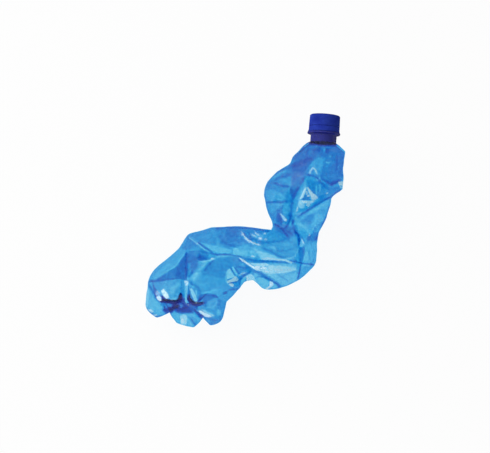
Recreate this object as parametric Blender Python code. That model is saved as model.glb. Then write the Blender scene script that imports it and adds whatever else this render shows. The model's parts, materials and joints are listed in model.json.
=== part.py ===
"""Crushed 1.5 litre PET drinks bottle, lying on its side, with its screw cap on.

The bottle is one thin blow-moulded shell, open at the mouth. It is laid out on a plane that
leans back by LEAN from level: u runs right, v runs up the plane and h stands out of its front.
All lengths are in millimetres until a point is placed in the world.
"""

import math

import bmesh
import bpy
import numpy as np
from mathutils import Matrix, Vector
from mathutils.geometry import delaunay_2d_cdt

MM = 0.001
LEAN = math.radians(20)
WALL = 0.45

# The mesh: points round each ring, the size of its cells, how close two points may be (in
# cells), the spacing of the places tried for them, and the least gap between two lines' points.
AROUND = 54
CELL = 6.1
CLOSEST = 0.88
TRY_ALONG, TRY_ROUND = 1.2, 1.6
MERGE = 0.9
SHARP_ANGLE = math.radians(35)

# Neck finish: distances run along the neck from its root, radii from its axis.
NECK_WALL = 1.95
NECK_BLEND = 14.0
NECK_RADIUS = 12.7
RING_RADIUS = 16.5
RING_LOW, RING_TOP = 8.0, 10.0
BEAD_RADIUS = 13.9
MOUTH = 25.0
NECK_TIP = 6.0

# Cap, its sealing disc and the band that broke off it.
GAP = 0.3
CAP_RADIUS = 15.2
CAP_BORE = BEAD_RADIUS + 0.4
CAP_TOP = 27.4
CAP_EDGE = 1.4
BAND_TOP = 15.6
BAND_FLARE = 0.1
DISC_RADIUS = NECK_RADIUS + 0.8
DISC_THICK = 0.7

# Base: five blown feet round a raised middle. Angles are round the bottle, 90 is its front.
# Each foot has its angle, half its width (degrees) and how far it reaches. Its flank is the
# share of that half width over which it falls to the valley beside it.
FEET = [(75, 23, 0.88), (134, 38, 1.0), (200, 34, 1.03), (266, 34, 1.03), (329, 34, 1.05)]
FOOT_LINE = [(43.0, 0), (43.4, 7), (41.5, 15), (37.5, 22), (32, 25.5), (26, 24), (18, 19), (8, 16.5)]
VALLEY_LINE = [(43.0, 0), (38.0, 5), (33.0, 9), (28.0, 12), (23, 14), (18, 15.3), (12, 16), (6, 16.2)]
FOOT_FLANK = 0.62
BASE_RADIUS = 43.0
BASE_MIDDLE = 16.2
BASE_DENT_RINGS = 2.5

# Rows along the bottle, from its base to its neck. Each gives the point on its left or upper
# outline, the point on its right or lower outline, how far the front and the back stand out
# between them, how far the back is off the ground, how far the row is tipped (degrees), and
# how sharp its two outlines are (1 is round).
ROWS = [
    ((-96.7, -56.0), (-13.2, -71.5), 40, 41, -1.5, 26, 1.0),
    ((-95.2, -51.4), (-9.0, -66.5), 38, 40, -1.0, 24, 1.0),
    ((-90.1, -43.4), (-5.1, -62.3), 36, 38, 0.0, 21, 1.05),
    ((-82.0, -36.5), (-3.2, -59.5), 34, 36, 1.5, 17, 1.1),
    ((-73.0, -28.5), (-1.7, -56.6), 32, 34, 2.5, 13, 1.15),
    ((-65.0, -21.0), (0.5, -55.3), 31, 32, 3.0, 9, 1.2),
    ((-57.4, -8.6), (5.3, -54.0), 30, 30, 3.5, 5, 1.25),
    ((-48.0, -5.6), (7.5, -54.0), 29, 29, 4.0, 2, 1.3),
    ((-39.5, -3.7), (9.8, -54.3), 28, 28, 4.5, 0, 1.3),
    ((-31.0, -1.8), (13.0, -58.0), 27, 28, 4.0, 0, 1.3),
    ((-23.0, -0.9), (16.7, -62.3), 27, 28, 3.5, 0, 1.3),
    ((-15.0, -0.3), (19.5, -63.4), 27, 28, 3.2, 0, 1.3),
    ((-7.0, -0.1), (22.4, -64.0), 27, 28, 3.0, 0, 1.3),
    ((1.0, -0.6), (28.0, -63.5), 27, 28, 2.8, 0, 1.3),
    ((9.0, -1.6), (35.0, -62.3), 27, 28, 2.6, 0, 1.3),
    ((16.0, -2.6), (43.1, -58.3), 27, 28, 2.4, 0, 1.3),
    ((21.5, -3.3), (54.6, -52.6), 26, 28, 2.2, 0, 1.3),
    ((25.0, -3.9), (61.0, -47.8), 25, 28, 2.0, 0, 1.25),
    ((26.3, -3.6), (69.4, -39.2), 25, 27, 2.0, 0, 1.2),
    ((27.0, -2.2), (70.7, -26.0), 25, 27, 1.0, 0, 1.2),
    ((28.0, 0.2), (73.2, -11.4), 25, 27, 2.0, 0, 1.2),
    ((28.6, 2.0), (74.6, -4.0), 26, 28, 2.0, 0, 1.2),
    ((26.5, 6.0), (79.0, 4.0), 27, 29, 2.0, 0, 1.2),
    ((24.1, 10.3), (82.8, 13.0), 28, 31, 1.5, 0, 1.2),
    ((22.0, 16.0), (85.0, 21.0), 30, 32, 1.5, 0, 1.2),
    ((20.3, 22.4), (87.0, 29.0), 31, 34, 2.0, 0, 1.2),
    ((19.9, 31.0), (98.5, 37.0), 32, 36, 1.5, 1, 1.2),
    ((20.6, 38.6), (97.5, 40.5), 32, 37, 1.0, 2, 1.2),
    ((26.5, 49.5), (99.2, 47.5), 31, 37, 2.0, 3, 1.15),
    ((32.0, 53.7), (97.6, 52.0), 30, 36, 3.5, 4, 1.1),
    ((38.6, 57.4), (98.2, 59.0), 29, 34, 7.0, 5, 1.05),
    ((45.0, 61.0), (98.6, 66.0), 28, 31, 11.5, 6, 1.0),
    ((47.8, 68.3), (99.2, 75.0), 25, 26, 18.0, 6, 1.0),
    ((52.0, 73.5), (96.5, 77.7), 21, 21, 24.0, 6, 1.0),
    ((56.5, 78.8), (94.0, 80.0), 17, 17, 29.0, 6, 1.0),
    ((66.0, 84.9), (91.3, 83.0), NECK_RADIUS, NECK_RADIUS, 34.5, NECK_TIP, 1.0),
]

# Folds of the front wall: points (u, v, rise) along each, where rise is how far the fold lifts
# the wall (ridge) or sinks it (valley) from its rounded form.
FRONT_FOLDS = {
    "shoulder_valley": [(73, 76, -1), (64, 71, -3), (55, 66, -6), (44, 59, -6), (35, 53, -4), (27, 48, -1)],
    "shoulder_ridge": [(65, 85, 0), (60, 78, 1), (55, 66, -6)],
    "shoulder_panel": [
        (64, 71, -3), (71, 68, 4), (77, 67, 4), (79, 55, 2), (66, 53, 3), (62, 60, 2), (64, 71, -3),
    ],
    "shoulder_right": [(79, 55, 2), (90, 62, 3), (92, 74, 1)],
    "collapse_lip": [
        (58, 50, 3), (66, 50.5, 5), (71, 48, 4), (75, 51, 5),
        (78, 45, 4), (83, 41, 5), (89, 43, 4), (96, 46, 0),
    ],
    "collapse_floor": [(58, 50, 3), (65, 45, -6), (73, 42, -9), (83, 35.5, -8), (93, 39, -3)],
    "shoulder_fold": [
        (58, 50, 3), (54, 40, -5), (49, 34, -9), (45.5, 26, -12), (45, 16, -12), (46, 7, -10), (40, -2, -9),
    ],
    "collapse_side": [(58, 50, 3), (60, 42, 0), (55, 34, 1), (51.5, 26, 0), (51, 18, -2), (50, 12, -6)],
    "bright_facet": [(61, 38, 1), (73, 27, -5), (63, 19, 4), (55, 26, 4), (61, 38, 1)],
    "facet_fold": [(55, 26, 4), (64, 27.5, -1), (73, 27, -5)],
    "flap_shadow": [(96, 39.5, -1), (84, 33, -7), (72, 24.5, -9), (60, 17, -8), (50, 12, -6)],
    "flap_edge": [(98, 37, 0), (85, 29, 5), (73, 21, 6), (60, 13.5, 5), (50, 9, 0), (46, 7, -10)],
    "lobe_upper_crease": [(27, 43, 0), (37, 41, -3), (45, 39, -3), (49, 34, -9)],
    "lobe_crown": [(24, 33, 1), (31, 32, 5), (39, 31, 3), (45.5, 26, -12)],
    "lobe_middle_crease": [(22, 24, 0), (32, 24.5, -2), (40, 24, -4), (45.5, 26, -12)],
    "lobe_notch": [(40, 24, -4), (36, 20, -1), (32, 15, -6), (34, 6, -8), (40, -2, -9)],
    "lobe_streak": [(32, 15, -6), (37, 11, 1), (41, 6, 1), (45, 16, -12)],
    "throat": [(29, 2, 0), (34, 0, -7), (40, -2, -9), (44, -10, -4)],
    "elbow_line": [
        (46, 7, -10), (49, -1, -7), (53, -7, -9), (55, -19, -8),
        (56, -29, -8), (55, -37, -5), (53, -46, -2), (53, -52, 0),
    ],
    "elbow_bright": [(53, -7, -9), (58, -13, 2), (59, -19, 2), (59, -30, 1), (58, -42, 1)],
    "elbow_arc": [(35, -33, 6), (43, -32, 6), (49, -29, 4), (53, -21, 1), (50, -13, 0)],
    "inner_arc": [(17, -14, 1), (24, -18, -3), (31, -21, -3), (40, -20, -3), (50, -13, 0)],
    "main_ridge": [
        (-29, -31, 5), (-17, -29, 8), (-5, -31, 9), (7, -32, 7), (17, -31.5, 8), (26, -31.5, 9), (35, -33, 6),
        (45, -35.5, 6), (55, -37, -5), (66, -38.5, 0),
    ],
    "under_ridge": [(-5, -31, 9), (5, -35, 4), (17, -35.5, 3), (30, -36, 4), (43, -38.5, 4)],
    "belly_crown": [(3, -39, 8), (14, -41, 10), (26, -43, 10), (38, -44, 7), (48, -45, 3)],
    "belly_edge": [(-5, -31, 9), (1, -38, 7), (7, -43, 9), (17, -46.5, 8), (25, -53, 5), (34, -60, 0)],
    "scoop_left": [(-13, -40, 3), (-18.5, -46, 4), (-18, -54, 4), (-12, -60, 2)],
    "scoop_fold": [(-13, -40, 3), (-9, -45, -4), (-5, -50.5, -10), (1, -46, -4), (7, -43, 8)],
    "scoop_lower": [(-18, -54, 4), (-11, -54, -5), (-5, -50.5, -11), (0, -53, -4)],
    "lobe_under": [(7, -43, 9), (9, -49.5, -3), (17, -51, -3), (26, -56.5, -2)],
    "lobe_white": [(9, -49.5, -3), (15, -57, 1), (24, -61, 0)],
    "corner_crease": [(-56, -10, 0), (-47, -17, 5), (-36, -25, 7), (-29, -31, 5)],
    "corner_shadow": [(-57.5, -24, -2), (-46, -27, -4), (-38, -28.5, -2), (-29, -31, 5)],
    "corner_lower": [(-46, -34, 3), (-36, -33, 4), (-29, -31, 5)],
    "panel_ridge": [(-36, -33, 4), (-47, -44, 5), (-54, -53, 2)],
    "knot_line": [(-57.5, -24, -2), (-58, -36, -7), (-58, -48, -11), (-60, -52, -12)],
    "left_lip": [(-94, -54.5, 0), (-85, -50, 2), (-75, -43, 3), (-66, -37, 2), (-57.5, -24, -2)],
    "left_valley": [(-94, -56.5, 0), (-85, -54, -7), (-73, -52, -10), (-60, -52, -12)],
    "knot_right": [(-60, -52, -12), (-52, -56, -8), (-44, -64, -5)],
    "panel_edge": [(-54, -53, 2), (-44, -61, 3), (-30, -63, 3), (-19, -61, 3), (-6, -61, 0)],
    "panel_middle": [(-36, -46, 1), (-25, -44, 1), (-13, -40, 3)],
    "top_arc": [(-5, -5, 0), (-1, -11, 4), (5, -15.5, 5), (13, -20, 4), (17, -14, 1)],
    "top_shadow": [(0, -2, 0), (4, -9, -4), (13, -13, -3)],
    "upper_panel": [(-36, -14, 1), (-20, -16, -2), (-8, -22, -1), (5, -26, -1), (20, -26, 2)],
    "right_panel": [(80, -2, 0), (70, 6, 2), (60, 13.5, 5)],
    "right_lower": [(59, -19, 2), (65, -24, 3), (66, -38.5, 0)],
}

# The back wall's folds, in the same way.
BACK_FOLDS = {
    "long_crease": [(-70, -50, 2), (-45, -40, 4), (-20, -36, 3), (5, -32, 5), (30, -30, 4), (50, -25, 3)],
    "long_valley": [
        (-60, -60, -2), (-35, -54, -7), (-12, -48, -6), (10, -46, -8), (32, -46, -5), (48, -42, -2),
    ],
    "upper_valley": [
        (-50, -22, -3), (-30, -18, -7), (-8, -15, -6), (14, -14, -6), (34, -14, -7), (52, -10, -4),
    ],
    "elbow_fan_low": [(30, -8, -5), (42, -28, 2), (54, -42, 1)],
    "elbow_fan_high": [(34, -4, -6), (50, -2, -5), (66, -6, -2)],
    "shoulder_crease": [(40, 4, -2), (48, 20, 3), (60, 36, 4), (70, 52, 2), (76, 68, 0)],
    "shoulder_valley": [(60, 8, -3), (68, 24, -8), (78, 38, -7), (88, 50, -2)],
    "lobe_valley": [(28, 24, -2), (36, 36, -7), (44, 50, -4), (56, 62, -2)],
    "heel_crease": [(-80, -50, 0), (-62, -40, -5), (-48, -34, -3)],
}

# How much of the wall's roundness is pressed into flat facets between its folds, and the rows
# over which the facets run out into the round base and neck. They also run out towards the two
# outlines, over a band of the wall that turns away from the front or the back.
FLATNESS = 0.6
FRONT_BASE_ROWS = 0.6
BACK_BASE_ROWS = 6
NECK_ROWS = 3
FOLD_BAND, CRUMPLE_BAND = 0.25, 0.4
BARE_BAND = 0.12

# Small facets of the crumpled wall: how far apart they are, how far they are off an even grid
# (in cells) and how far they stand out.
CRUMPLE_CELL = 17.0
CRUMPLE_SHIFT = 0.42
CRUMPLE_FRONT, CRUMPLE_BACK = 0.9, 2.2
CRUMPLE_SEED = 7
GIRTH = 200.0


def spline(rows, s):
    """Rows of numbers read at places s between them, on a smooth curve through every row."""
    last = len(rows) - 1
    i = np.clip(np.floor(s).astype(int), 0, last - 1)
    f = (s - i)[:, None]
    p0, p1, p2, p3 = (rows[np.clip(i + k, 0, last)] for k in (-1, 0, 1, 2))
    bend = 2 * p0 - 5 * p1 + 4 * p2 - p3
    twist = 3 * p1 - p0 - 3 * p2 + p3
    return 0.5 * (2 * p1 + (p2 - p0) * f + bend * f**2 + twist * f**3)


def smooth_step(x):
    x = np.clip(x, 0, 1)
    return x * x * (3 - 2 * x)


ROW_TABLE = np.array([upper + lower + tuple(rest) for upper, lower, *rest in ROWS], float)
LAST_ROW = len(ROWS) - 1


def row_frames(s):
    """The middle, half width, forward direction and other values of the row at s."""
    row = spline(ROW_TABLE, s)
    upper, lower = row[:, 0:2], row[:, 2:4]
    front, back, lift, tip, edge = row[:, 4:].T
    half = (lower - upper) / 2
    across = half / np.linalg.norm(half, axis=1, keepdims=True)
    forward = np.stack([-across[:, 1], across[:, 0]], axis=1)
    tip = np.radians(tip)
    stand = np.sin(tip) * forward[:, 1] * math.sin(LEAN) + np.cos(tip) * math.cos(LEAN)
    middle = (upper + lower) / 2
    height = (lift + back * stand - middle[:, 1] * math.sin(LEAN)) / math.cos(LEAN)
    return middle, half, forward, height, front, back, tip, edge


def rounded_body(s, t):
    """Points of the undented body, and how far each faces the front (1) or the back (-1)."""
    middle, half, forward, height, front, back, tip, edge = row_frames(s)
    face = np.sin(t)
    depth = np.sign(face) * np.abs(face) ** edge * np.where(face > 0, front, back)
    uv = middle + half * np.cos(t)[:, None] + forward * (np.sin(tip) * depth)[:, None]
    return np.column_stack([uv, height + np.cos(tip) * depth]), face


def pressed(s, form):
    """How much of its roundness each point loses where the wall is pressed into facets."""
    return FLATNESS * np.abs(form[:, 2] - row_frames(s)[3])


def on_ground(points):
    """Points with none under the ground: the wall lies flat where it rests."""
    points[:, 2] = np.maximum(points[:, 2], -points[:, 1] * math.tan(LEAN))
    return points


class FoldNet:
    """Flat facets stretched between fold lines: rise(points) reads them anywhere."""

    def __init__(self, folds, border, stand=None):
        points, edges, rises = [], [], []
        for fold in folds:
            start = len(points)
            points += [Vector(p[:2]) for p in fold]
            rises += [p[2] for p in fold]
            edges += [(i, i + 1) for i in range(start, len(points) - 1)]
        if stand:
            rises = list(np.array(rises) + stand(points))
        points += [Vector(p) for p in border]
        rises += [0.0] * len(border)
        made = delaunay_2d_cdt(points, edges, [], 0, 1e-4)
        self.corners = np.array([tuple(p) for p in made[0]])
        self.rises = np.zeros(len(self.corners))
        for i, sources in enumerate(made[3]):
            self.rises[i] = rises[sources[0]] if sources else self.on_edge(i, points, edges, rises)
        self.triangles = np.array([tuple(f) for f in made[2]])

    def on_edge(self, i, points, edges, rises):
        """The rise where two fold lines cross, from the first of them."""
        place = Vector(self.corners[i])
        for a, b in edges:
            run = points[b] - points[a]
            share = (place - points[a]).dot(run) / max(run.length_squared, 1e-9)
            if 0 <= share <= 1 and (points[a] + run * share - place).length < 1e-3:
                return rises[a] * (1 - share) + rises[b] * share
        return 0.0

    def rise(self, uv):
        found = np.zeros(len(uv))
        for a, b, c in self.triangles:
            origin = self.corners[a]
            basis = np.column_stack([self.corners[b] - origin, self.corners[c] - origin])
            if abs(np.linalg.det(basis)) < 1e-9:
                continue
            share = np.linalg.solve(basis, (uv - origin).T)
            inside = (share >= -1e-9).all(axis=0) & (share.sum(axis=0) <= 1 + 1e-9)
            lift = self.rises[a] + share[0] * (self.rises[b] - self.rises[a])
            lift += share[1] * (self.rises[c] - self.rises[a])
            found[inside] = lift[inside]
        return found


def outline(count):
    """The bottle's two outlines, as one closed line of points on the layout plane."""
    s = np.linspace(0, LAST_ROW, count)
    row = spline(ROW_TABLE, s)
    return [tuple(p) for p in row[:, 0:2]] + [tuple(p) for p in row[::-1, 2:4]]


def crumple_net(length, span):
    """Small facets over the whole body, on its unrolled surface."""
    random = np.random.default_rng(CRUMPLE_SEED)
    points = []
    for i in range(1, int(length / CRUMPLE_CELL)):
        for j in range(1, int(span / CRUMPLE_CELL)):
            place = (np.array([i, j]) + random.uniform(-CRUMPLE_SHIFT, CRUMPLE_SHIFT, 2)) * CRUMPLE_CELL
            points.append([(place[0], place[1], random.uniform(-1, 1))])
    corners = [(0, 0), (length, 0), (length, span), (0, span)]
    return FoldNet(points, corners)


class Body:
    """The crushed body's surface, read at a row place s and an angle t round the bottle."""

    def __init__(self):
        fine = np.linspace(0, LAST_ROW, 12 * LAST_ROW + 1)
        middle, _, _, height, *_ = row_frames(fine)
        steps = np.linalg.norm(np.diff(np.column_stack([middle, height]), axis=0), axis=1)
        self.fine, self.run = fine, np.concatenate([[0], np.cumsum(steps)])
        self.length = self.run[-1]
        border = outline(60)
        self.front = FoldNet(FRONT_FOLDS.values(), border, lambda p: self.stand(p, 1))
        self.back = FoldNet(BACK_FOLDS.values(), border, lambda p: self.stand(p, -1))
        self.crumple = crumple_net(self.length, GIRTH)

    def unrolled(self, s, t):
        """Place on the unrolled surface: along the bottle, and round it from its lower outline."""
        return np.column_stack([np.interp(s, self.fine, self.run), t / math.tau * GIRTH])

    def rolled(self, places):
        s = np.interp(places[:, 0], self.run, self.fine)
        return s, places[:, 1] / GIRTH * math.tau

    def stand(self, places, side):
        """How much roundness is pressed flat over points of the layout plane."""
        s, t = self.find(np.array([tuple(p) for p in places]), side)
        return pressed(s, rounded_body(s, t)[0])

    def points(self, s, t):
        form, face = rounded_body(s, t)
        folds = np.where(face > 0, self.front.rise(form[:, :2]), self.back.rise(form[:, :2]))
        rough = np.where(face > 0, CRUMPLE_FRONT, CRUMPLE_BACK)
        small = rough * self.crumple.rise(self.unrolled(s, t)) * smooth_step(np.abs(face) / CRUMPLE_BAND)
        shown = smooth_step(np.abs(face) / FOLD_BAND) * smooth_step((LAST_ROW - s) / NECK_ROWS)
        shown *= smooth_step((s + 0.5) / np.where(face > 0, FRONT_BASE_ROWS, BACK_BASE_ROWS))
        form[:, 2] += np.sign(face) * shown * (folds - pressed(s, form) + small)
        return on_ground(form)

    def find(self, uv, side):
        """Row places and angles under points of the layout plane, on the front or the back."""
        edge = 0.02
        rows, angles = np.linspace(0, LAST_ROW, 14 * LAST_ROW + 1), np.linspace(edge, math.pi - edge, 301)
        s, t = (grid.ravel() for grid in np.meshgrid(rows, angles * side))
        form, _ = rounded_body(s, t)
        found = []
        for place in uv:
            nearest = np.argmin(((form[:, :2] - place) ** 2).sum(axis=1))
            found.append((s[nearest], t[nearest]))
        s, t = np.array(found).T
        return s, t % math.tau


def sampled(line, step):
    """A line's points, with more between them so that none are further apart than step."""
    line = np.array(line, float)
    made = [line[0]]
    for a, b in zip(line[:-1], line[1:]):
        parts = max(1, round(np.linalg.norm(b - a) / step))
        made += [a + (b - a) * k / parts for k in range(1, parts + 1)]
    return np.array(made)


def body_layout(body):
    """The body's mesh on its unrolled surface: places, and triangles between them."""
    lines = []
    angles = np.linspace(0, math.tau, AROUND + 1)
    for s in (0.0, float(LAST_ROW)):
        lines.append(body.unrolled(np.full(AROUND + 1, s), angles))
    for t in (0.0, math.pi, math.tau):
        lines.append(even_line(body, t))
    for folds, side in ((FRONT_FOLDS, 1), (BACK_FOLDS, -1)):
        for fold in folds.values():
            s, t = body.find(sampled([p[:2] for p in fold], CELL), side)
            clear = (s > 0.4) & (s < LAST_ROW - 0.6) & (np.abs(np.sin(t)) > BARE_BAND)
            lines.append(body.unrolled(s[clear], t[clear]))
    places, edges = [], []
    for line in lines:
        start = len(places)
        places += [tuple(p) for p in line]
        edges += [(i, i + 1) for i in range(start, len(places) - 1)]
    places += filler(body, np.array(places))
    made = delaunay_2d_cdt([Vector(p) for p in places], edges, [], 0, MERGE)
    return np.array([tuple(p) for p in made[0]]), [tuple(f) for f in made[2]]


def even_line(body, t):
    """Places along one angle, about a cell apart on the real surface."""
    s = np.linspace(0, LAST_ROW, 40 * LAST_ROW + 1)
    points, _ = rounded_body(s, np.full(len(s), t))
    run = np.concatenate([[0], np.cumsum(np.linalg.norm(np.diff(points, axis=0), axis=1))])
    parts = round(run[-1] / CELL)
    chosen = np.interp(np.linspace(0, run[-1], parts + 1), run, s)
    return body.unrolled(chosen, np.full(parts + 1, t))


def filler(body, taken):
    """Places that fill the panels between the lines, at least a cell apart on the surface."""
    s, t = body.rolled(taken)
    kept = list(rounded_body(s, t)[0])
    rows = int(body.length / TRY_ALONG)
    columns = int(GIRTH / TRY_ROUND)
    grid = [((i + 0.5) / rows * body.length, (j + 0.5 * (i % 2)) / columns * GIRTH)
            for i in range(rows) for j in range(1, columns)]
    grid = np.array(grid)
    points, _ = rounded_body(*body.rolled(grid))
    store = np.full((len(kept) + len(points), 3), 1e6)
    store[: len(kept)] = kept
    count = len(kept)
    chosen = []
    for place, point in zip(grid, points):
        if ((store[:count] - point) ** 2).sum(axis=1).min() > (CLOSEST * CELL) ** 2:
            store[count] = point
            count += 1
            chosen.append(tuple(place))
    return chosen


def foot_share(t):
    """How much each angle belongs to a foot (1) or a valley (0), and that foot's reach."""
    share, reach = np.zeros(len(t)), np.ones(len(t))
    for angle, half_width, length in FEET:
        gap = np.abs((np.degrees(t) - angle + 180) % 360 - 180) / half_width
        here = smooth_step((1 - gap) / FOOT_FLANK)
        reach = np.where(here > share, 1 + (length - 1) * here, reach)
        share = np.maximum(share, here)
    return share, reach


def base_ring(body, level, t):
    """One ring of points round the base. The dents of the body run out over its first rings."""
    share, reach = foot_share(t)
    foot, valley = np.array(FOOT_LINE[level]), np.array(VALLEY_LINE[level])
    radius, out = (valley[:, None] * (1 - share) + foot[:, None] * share) * reach
    start = np.zeros(len(t))
    dent = body.points(start, t) - rounded_body(start, t)[0]
    fade = float(smooth_step(1 - level / BASE_DENT_RINGS))
    return on_ground(base_place(radius / BASE_RADIUS, t, out) + dent * fade)


def base_place(scale, t, out):
    """Places scale of the way out to the body's first row, and out mm past it."""
    s = np.zeros(len(t))
    middle, half, forward, height, front, back, tip, _ = row_frames(s)
    form, _ = rounded_body(s, t)
    centre = np.column_stack([middle, height])
    outward = np.column_stack([-forward * np.cos(tip)[:, None], np.sin(tip)])
    return centre + (form - centre) * np.reshape(scale, (-1, 1)) + outward * np.reshape(out, (-1, 1))


def neck_frame():
    """The neck's root, and its directions across, out of the front and along."""
    middle, half, forward, height, *_ = row_frames(np.array([float(LAST_ROW)]))
    across = np.append(half[0], 0) / np.linalg.norm(half[0])
    tip = math.radians(NECK_TIP)
    along = np.append(forward[0] * math.cos(tip), -math.sin(tip))
    out = np.append(forward[0] * math.sin(tip), math.cos(tip))
    return np.append(middle[0], height[0]), across, out, along


def neck_ring(radius, level, t):
    root, across, out, along = neck_frame()
    rim = np.cos(t)[:, None] * across + np.sin(t)[:, None] * out
    return root + along * level + rim * radius


NECK_PROFILE = [
    (NECK_RADIUS, 3.0),
    (NECK_RADIUS, 6.6),
    (NECK_RADIUS + 0.6, RING_LOW - 0.4),
    (RING_RADIUS - 0.2, RING_LOW),
    (RING_RADIUS, RING_LOW + 0.4),
    (RING_RADIUS, RING_TOP - 0.3),
    (RING_RADIUS - 0.4, RING_TOP),
    (NECK_RADIUS + 0.2, RING_TOP),
    (NECK_RADIUS, 12.2),
    (BEAD_RADIUS, 13.0),
    (BEAD_RADIUS, 14.0),
    (NECK_RADIUS, 14.8),
    (NECK_RADIUS, MOUTH - 0.8),
    (NECK_RADIUS - 0.6, MOUTH),
]
BORE_PROFILE = [(NECK_RADIUS - NECK_WALL, level) for level in (5.0, 15.0, MOUTH)]


def to_world(points):
    """Layout points, in mm, as world points in metres."""
    u, v, h = np.asarray(points).T
    turn = math.cos(LEAN), math.sin(LEAN)
    return np.column_stack([u, v * turn[0] - h * turn[1], v * turn[1] + h * turn[0]]) * MM


def add_ring_faces(mesh, low, high):
    for i in range(len(low)):
        j = (i + 1) % len(low)
        mesh.faces.new((low[i], low[j], high[j]))
        mesh.faces.new((low[i], high[j], high[i]))


def outer_skin(body):
    """The bottle's outer skin from the middle of its base to its mouth. Its rings are kept."""
    mesh = bmesh.new()
    angles = np.arange(AROUND) * math.tau / AROUND
    places, triangles = body_layout(body)
    points = body.points(*body.rolled(places))
    verts = [mesh.verts.new(p) for p in points]
    for triangle in triangles:
        mesh.faces.new([verts[i] for i in triangle])
    bmesh.ops.remove_doubles(mesh, verts=mesh.verts, dist=0.02)
    ends = []
    for s in (0.0, float(LAST_ROW)):
        ring = body.points(np.full(AROUND, s), angles)
        ends.append([min(mesh.verts, key=lambda v, p=Vector(p): (v.co - p).length_squared) for p in ring])
    below = ends[0]
    for level in range(1, len(FOOT_LINE)):
        ring = [mesh.verts.new(p) for p in base_ring(body, level, angles)]
        add_ring_faces(mesh, below, ring)
        below = ring
    middle = mesh.verts.new(base_place(np.zeros(1), np.zeros(1), np.array([BASE_MIDDLE]))[0])
    for i in range(AROUND):
        mesh.faces.new((below[i], below[(i + 1) % AROUND], middle))
    above = ends[1]
    neck = []
    for radius, level in NECK_PROFILE:
        ring = [mesh.verts.new(p) for p in neck_ring(radius, level, angles)]
        add_ring_faces(mesh, above, ring)
        neck.append(ring)
        above = ring
    bmesh.ops.recalc_face_normals(mesh, faces=mesh.faces)
    mesh.normal_update()
    return mesh, neck, angles


def add_inner_skin(mesh, neck, angles):
    """The inner skin, a wall's thickness inside the outer one, and the lip that joins them."""
    on_neck = {v for ring in neck for v in ring}
    root, _, _, along = (Vector(a) for a in neck_frame())
    inner = {}
    for vert in [v for v in mesh.verts if v not in on_neck]:
        near = 1 - (root - vert.co).dot(along) / NECK_BLEND
        wall = WALL + (NECK_WALL - WALL) * float(smooth_step(near))
        inner[vert] = mesh.verts.new(vert.co - vert.normal * wall)
    for face in [f for f in mesh.faces if all(v in inner for v in f.verts)]:
        mesh.faces.new([inner[v] for v in reversed(face.verts)])
    roots = [min(inner, key=lambda v, p=Vector(p): (v.co - p).length_squared)
             for p in neck_ring(NECK_RADIUS, 0, angles)]
    above = [inner[v] for v in roots]
    for radius, level in BORE_PROFILE:
        ring = [mesh.verts.new(p) for p in neck_ring(radius, level, angles)]
        add_ring_faces(mesh, above, ring)
        above = ring
    add_ring_faces(mesh, above, neck[-1])
    bmesh.ops.recalc_face_normals(mesh, faces=mesh.faces)


def finish(mesh, name, material):
    data = bpy.data.meshes.new(name)
    mesh.to_mesh(data)
    mesh.free()
    data.shade_smooth()
    data.set_sharp_from_angle(angle=SHARP_ANGLE)
    data.materials.append(material)
    thing = bpy.data.objects.new(name, data)
    bpy.context.scene.collection.objects.link(thing)
    return thing


def make_bottle(material):
    mesh, neck, angles = outer_skin(Body())
    add_inner_skin(mesh, neck, angles)
    for vert, place in zip(mesh.verts, to_world([v.co for v in mesh.verts])):
        vert.co = place
    bmesh.ops.recalc_face_normals(mesh, faces=mesh.faces)
    return finish(mesh, "bottle", material)


def turned(name, profile, material, frame):
    """A closed ring or cup turned from its outline, standing on the neck's root."""
    mesh = bmesh.new()
    rings = []
    for radius, level in profile:
        count = AROUND if radius else 1
        angles = [i * math.tau / count for i in range(count)]
        points = [Vector((radius * math.cos(a), radius * math.sin(a), level)) for a in angles]
        rings.append([mesh.verts.new(p * MM) for p in points])
    for low, high in zip(rings, rings[1:] + rings[:1]):
        if len(low) == len(high) == 1:
            continue
        for i in range(AROUND):
            j = (i + 1) % AROUND
            corners = (low[i % len(low)], low[j % len(low)], high[j % len(high)], high[i % len(high)])
            mesh.faces.new(list(dict.fromkeys(corners)))
    bmesh.ops.recalc_face_normals(mesh, faces=mesh.faces)
    thing = finish(mesh, name, material)
    thing.matrix_world = frame
    return thing


def neck_matrix():
    """Where the neck's root is in the world, with Z along the neck."""
    root, across, out, along = neck_frame()
    turns = [Vector(to_world([axis])[0]).normalized() for axis in (across, np.cross(along, across), along)]
    matrix = Matrix(turns).transposed().to_4x4()
    matrix.translation = Vector(to_world([root])[0])
    return matrix


def make_cap(material, frame):
    ceiling = MOUTH + 2 * GAP + DISC_THICK
    skirt = BAND_TOP + GAP
    profile = [
        (0, CAP_TOP),
        (CAP_RADIUS - CAP_EDGE, CAP_TOP),
        (CAP_RADIUS - 0.35 * CAP_EDGE, CAP_TOP - 0.3 * CAP_EDGE),
        (CAP_RADIUS - 0.1 * CAP_EDGE, CAP_TOP - CAP_EDGE),
        (CAP_RADIUS, skirt),
        (CAP_BORE, skirt),
        (CAP_BORE, ceiling),
        (0, ceiling),
    ]
    return turned("cap", profile, material, frame)


def make_seal_disc(material, frame):
    low = MOUTH + GAP
    high = low + DISC_THICK
    profile = [(0, high), (DISC_RADIUS, high), (DISC_RADIUS, low), (0, low)]
    return turned("seal_disc", profile, material, frame)


def make_tamper_band(material, frame):
    low = RING_TOP + GAP
    profile = [(CAP_RADIUS, BAND_TOP), (CAP_RADIUS + BAND_FLARE, low), (CAP_BORE, low), (CAP_BORE, BAND_TOP)]
    return turned("tamper_band", profile, material, frame)


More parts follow.
